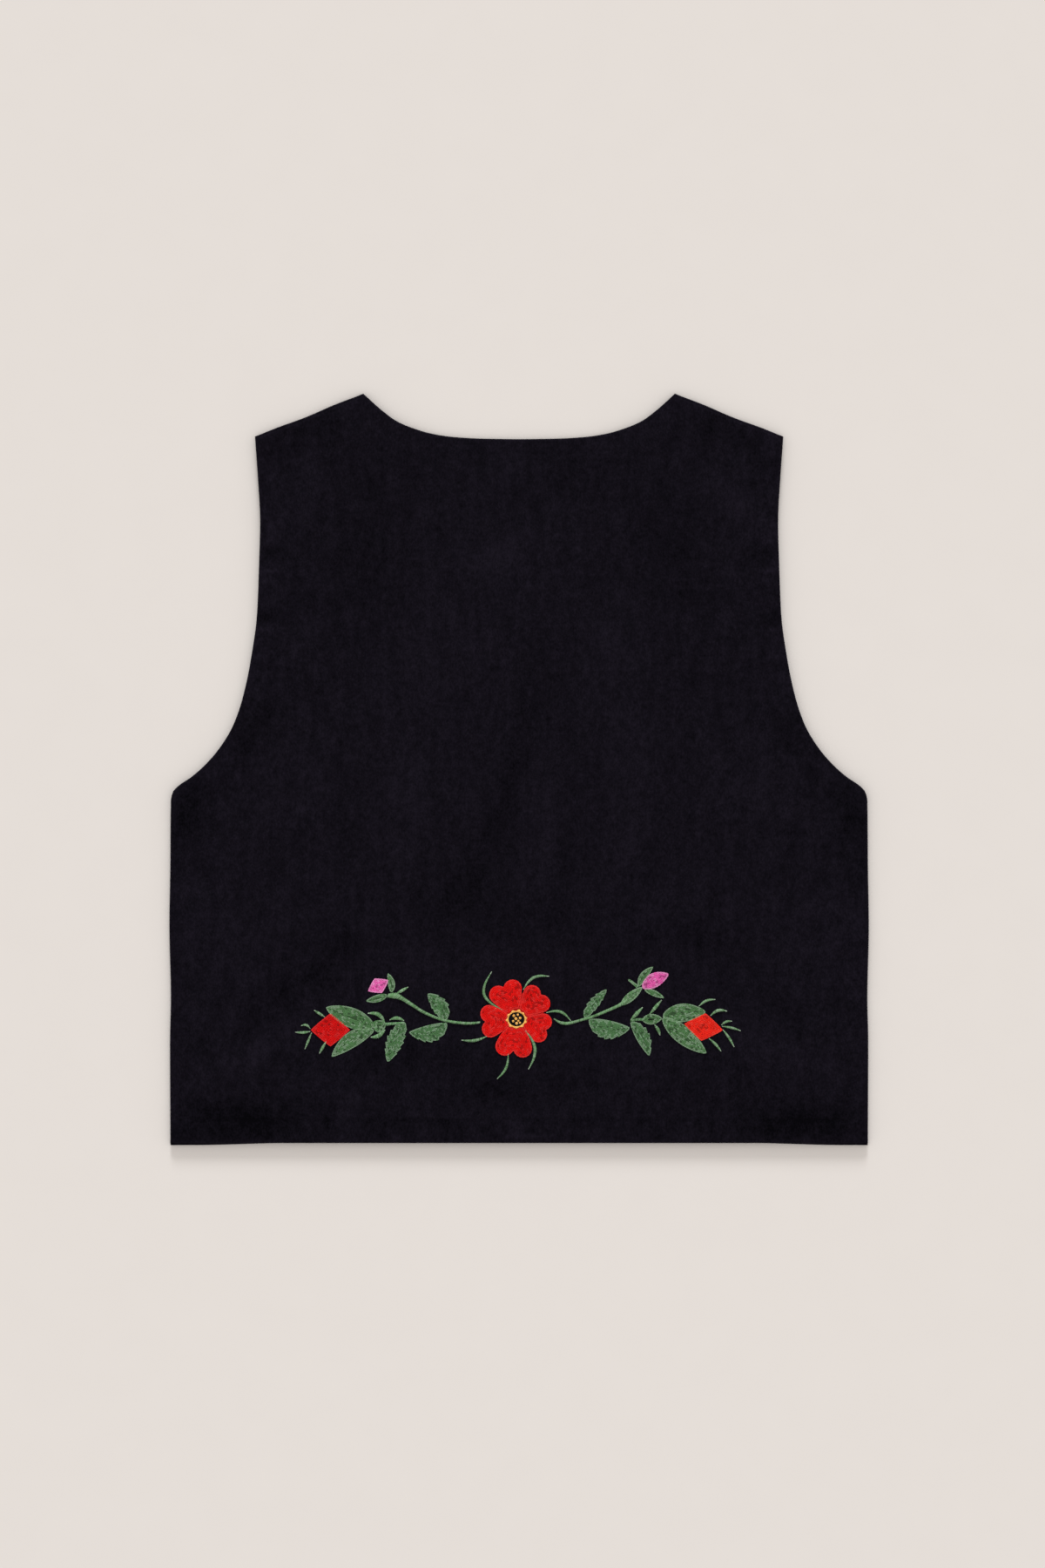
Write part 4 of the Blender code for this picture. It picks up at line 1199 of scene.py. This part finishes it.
# Cups where the stems widen under the pink buds: leaf shapes of their own.
CUPS = (
    # stem, base, tip, full half widths: left, right
    ("stem_right", (70.5, 95.5), (85.0, 107.5), 2.8, 2.6),
)
LINKS = (
    # name, route: x, y, width
    ("link_left", ((-79.6, 82.9, 1.6), (-86.5, 82.4, 1.9), (-92.5, 81.9, 2.4))),
    ("link_right", ((77.0, 84.4, 1.4), (81.5, 85.2, 1.9), (86.2, 85.1, 1.9))),
)
FILAMENTS = (
    # bud, base, tip, bow, width
    ("l", (-134.0, 87.0), (-141.0, 91.5), 0.0, 2.5),
    ("l", (-144.0, 79.0), (-150.0, 81.0), -1.5, 2.2),
    ("l", (-144.0, 77.0), (-154.0, 76.5), 0.5, 2.4),
    ("l", (-143.0, 76.0), (-147.5, 65.0), 0.0, 2.1),
    ("l", (-133.0, 70.0), (-137.5, 62.0), 0.0, 2.6),
    ("r", (124.0, 94.5), (135.0, 99.0), 1.5, 2.3),
    ("r", (132.0, 88.0), (143.0, 91.0), 2.0, 2.8),
    ("r", (139.5, 81.5), (146.5, 84.0), 1.0, 2.2),
    ("r", (140.0, 80.5), (152.5, 77.5), 0.5, 2.1),
    ("r", (140.5, 78.0), (148.0, 66.5), 0.5, 2.3),
    ("r", (131.0, 72.0), (139.0, 63.5), 0.5, 2.4),
)
# Leaves, sepals and bud: where they lie and their full half widths.
LEAVES = (
    # name, base, tip, left, right, toothed
    ("leaf_l1", (-50.5, 84.5), (-63.0, 103.0), 3.2, 7.5, True),
    ("leaf_l2", (-49.5, 82.5), (-76.0, 76.5), 10.0, 1.5, True),
    ("leaf_l3", (-79.0, 83.5), (-90.5, 56.0), 4.6, 6.6, True),
    ("leaf_r1", (45.0, 86.5), (60.5, 106.0), 4.4, 2.6, True),
    ("leaf_r2", (48.0, 85.0), (76.5, 79.5), 2.0, 10.6, True),
    ("leaf_r3", (77.0, 83.5), (89.5, 60.0), 7.2, 2.0, True),
)
SEPALS = (
    # name, base, tip, left, right
    ("calyx_right", (85.0, 85.0), (98.5, 86.0), 3.4, 3.4),
    ("sepal_pink_l1", (-88.0, 104.0), (-90.5, 117.0), 1.0, 3.4),
    ("sepal_pink_l2", (-91.0, 102.0), (-105.5, 98.0), 2.8, 1.8),
    ("sepal_pink_r1", (82.5, 108.0), (92.5, 121.5), 4.0, 0.8),
    ("sepal_pink_r2", (86.5, 106.0), (100.0, 100.0), 2.0, 1.6),
    ("leaflet_pr", (82.0, 107.5), (75.0, 113.0), 1.5, 1.5),
    ("sepal_red_l1", (-100.0, 80.5), (-133.0, 93.5), 6.8, 6.4),
    ("sepal_red_l2", (-100.0, 78.0), (-129.0, 59.5), 2.6, 7.8),
    ("sepal_red_r1", (99.0, 87.5), (128.5, 90.5), 7.0, 5.2),
    ("sepal_red_r2", (99.0, 86.5), (129.0, 62.0), 5.4, 6.4),
)
PINK_R = ("bud_pink_r", (85.0, 107.0), (103.0, 116.5), 5.6, 3.8)
BUDS = (
    # name, centre, half length, half width, tilt, threads
    ("bud_red_l", (-130.0, 78.0), 13.6, 11.4, 0.0, CRIMSON, "thread_crimson"),
    ("bud_red_r", (127.0, 80.0), 13.6, 9.6, -9.0, VERMILION,
     "thread_vermilion"),
    ("bud_pink_l", (-97.0, 108.5), 8.2, 5.6, 28.0, ROSE, "thread_rose"),
)

for name, *shape in CURLS:
    st = Stitches()
    satin(st, curl(*shape), thin=0.80 if name.startswith("tendril") else 0.96)
    show(st, name + "_satin", name, REED)
for name, route in STEMS:
    st = Stitches()
    satin(st, route, slant=0.45, tips=0.0, crown=0.24,
          weights=(0.60, 0.32, 0.08), thin=0.86)
    for stem, *shape in CUPS:
        if stem == name:
            filled(st, leaf(*shape), 0.95, 1.5, 0.86, 0.23,
                   (0.58, 0.34, 0.08), (0.12, 0.88, 0.0), 0.30)
    show(st, name + "_satin", name, REED)
for name, route in LINKS:
    st = Stitches()
    satin(st, route, slant=0.5, tips=0.0)
    show(st, name + "_satin", name, GREEN)
for bud in ("l", "r"):
    st = Stitches()
    for side, *shape in FILAMENTS:
        if side == bud:
            satin(st, curl(*shape), tips=0.10, weights=(0.40, 0.52, 0.08), thin=0.80)
    show(st, "filaments_" + bud, None, REED)

for name, *shape in LEAVES:
    st = Stitches()
    filled(st, inset(leaf(*shape), 0.08), 1.0, 1.35, 0.86, 0.23,
           (0.58, 0.32, 0.10), (0.12, 0.88, 0.0), 0.26)
    show(st, name + "_stitches", name, GREEN)
for name, *shape in SEPALS:
    st = Stitches()
    filled(st, leaf(*shape), 1.06, 1.7, 0.90, 0.24,
           (0.62, 0.28, 0.10), (0.12, 0.88, 0.0), 0.26)
    if name == "calyx_right":
        st.tube([(88.6, 84.9, 0.75), (90.6, 85.3, 0.85), (92.8, 85.2, 0.75)],
                (0.18, 0.34, 0.18), 4, 5)
    show(st, name + "_stitches", name, SAGE + BLACK[:1])
for name, centre, long, wide, tilt, threads, slot_name in BUDS:
    st = Stitches()
    filled(st, quad(diamond(centre, long, wide, tilt), (0.3, 0.3, 0.3, 0.3)))
    show(st, name + "_stitches", name, threads)
st = Stitches()
filled(st, leaf(*PINK_R[1:]))
show(st, "bud_pink_r_stitches", "bud_pink_r", MAUVE)
st = Stitches()
ball = np.array([(-96.4 + (4.5 + 0.3 * math.sin(3 * a)) * math.cos(a),
                  80.8 + (4.2 + 0.3 * math.sin(3 * a)) * math.sin(a))
                 for a in np.linspace(0, 2 * math.pi, 24)[:-1]])
filled(st, ball, 0.98, 1.35, 0.92, 0.25, (0.42, 0.28, 0.30),
       (0.4, 0.55, 0.05), 0.26)
show(st, "calyx_left_stitches", "calyx_left", SAGE)

# ------------------------------------------------------------ floor and light
floor_mat, tree, node = shader("pale_floor", 0.9, spec=0.0)
grain = noise(tree, 30.0, (1, 1, 1), 2.0)
tree.links.new(ramp(tree, grain, ((0.3, (0.737, 0.687, 0.646, 1)),
                                  (0.7, (0.743, 0.693, 0.652, 1)))),
               node.inputs["Base Color"])
bpy.ops.mesh.primitive_plane_add(size=8.0, location=(0, 0, -0.0002))
floor = bpy.context.object
floor.name = "floor"
floor.data.materials.append(floor_mat)

world = bpy.data.worlds.new("studio")
bpy.context.scene.world = world
world.use_nodes = True
sky = world.node_tree.nodes["Background"]
sky.inputs["Color"].default_value = (1.0, 0.985, 0.975, 1)
sky.inputs["Strength"].default_value = 0.8365

sun = bpy.data.lights.new("soft_key", "SUN")
sun.energy = 2.37
sun.angle = math.radians(14)
sun.color = (0.93, 0.97, 1.0)
key = bpy.data.objects.new("soft_key", sun)
key.rotation_euler = (math.radians(-71.5), 0.0, 0.0)
bpy.context.scene.collection.objects.link(key)

scene = bpy.context.scene
scene.view_settings.view_transform = "Standard"
scene.view_settings.look = "None"
scene.view_settings.exposure = 0.0

cam_data = bpy.data.cameras.new("camera")
cam_data.lens = 85.0
cam_data.sensor_width = 36.0
cam_data.clip_end = 50.0
cam = bpy.data.objects.new("camera", cam_data)
cam.location = (0.00234, -0.0100, 0.0045 + 0.540 * 85.0 / 18.0)
cam.rotation_euler = (0.0, 0.0, 0.0)
scene.collection.objects.link(cam)
scene.camera = cam
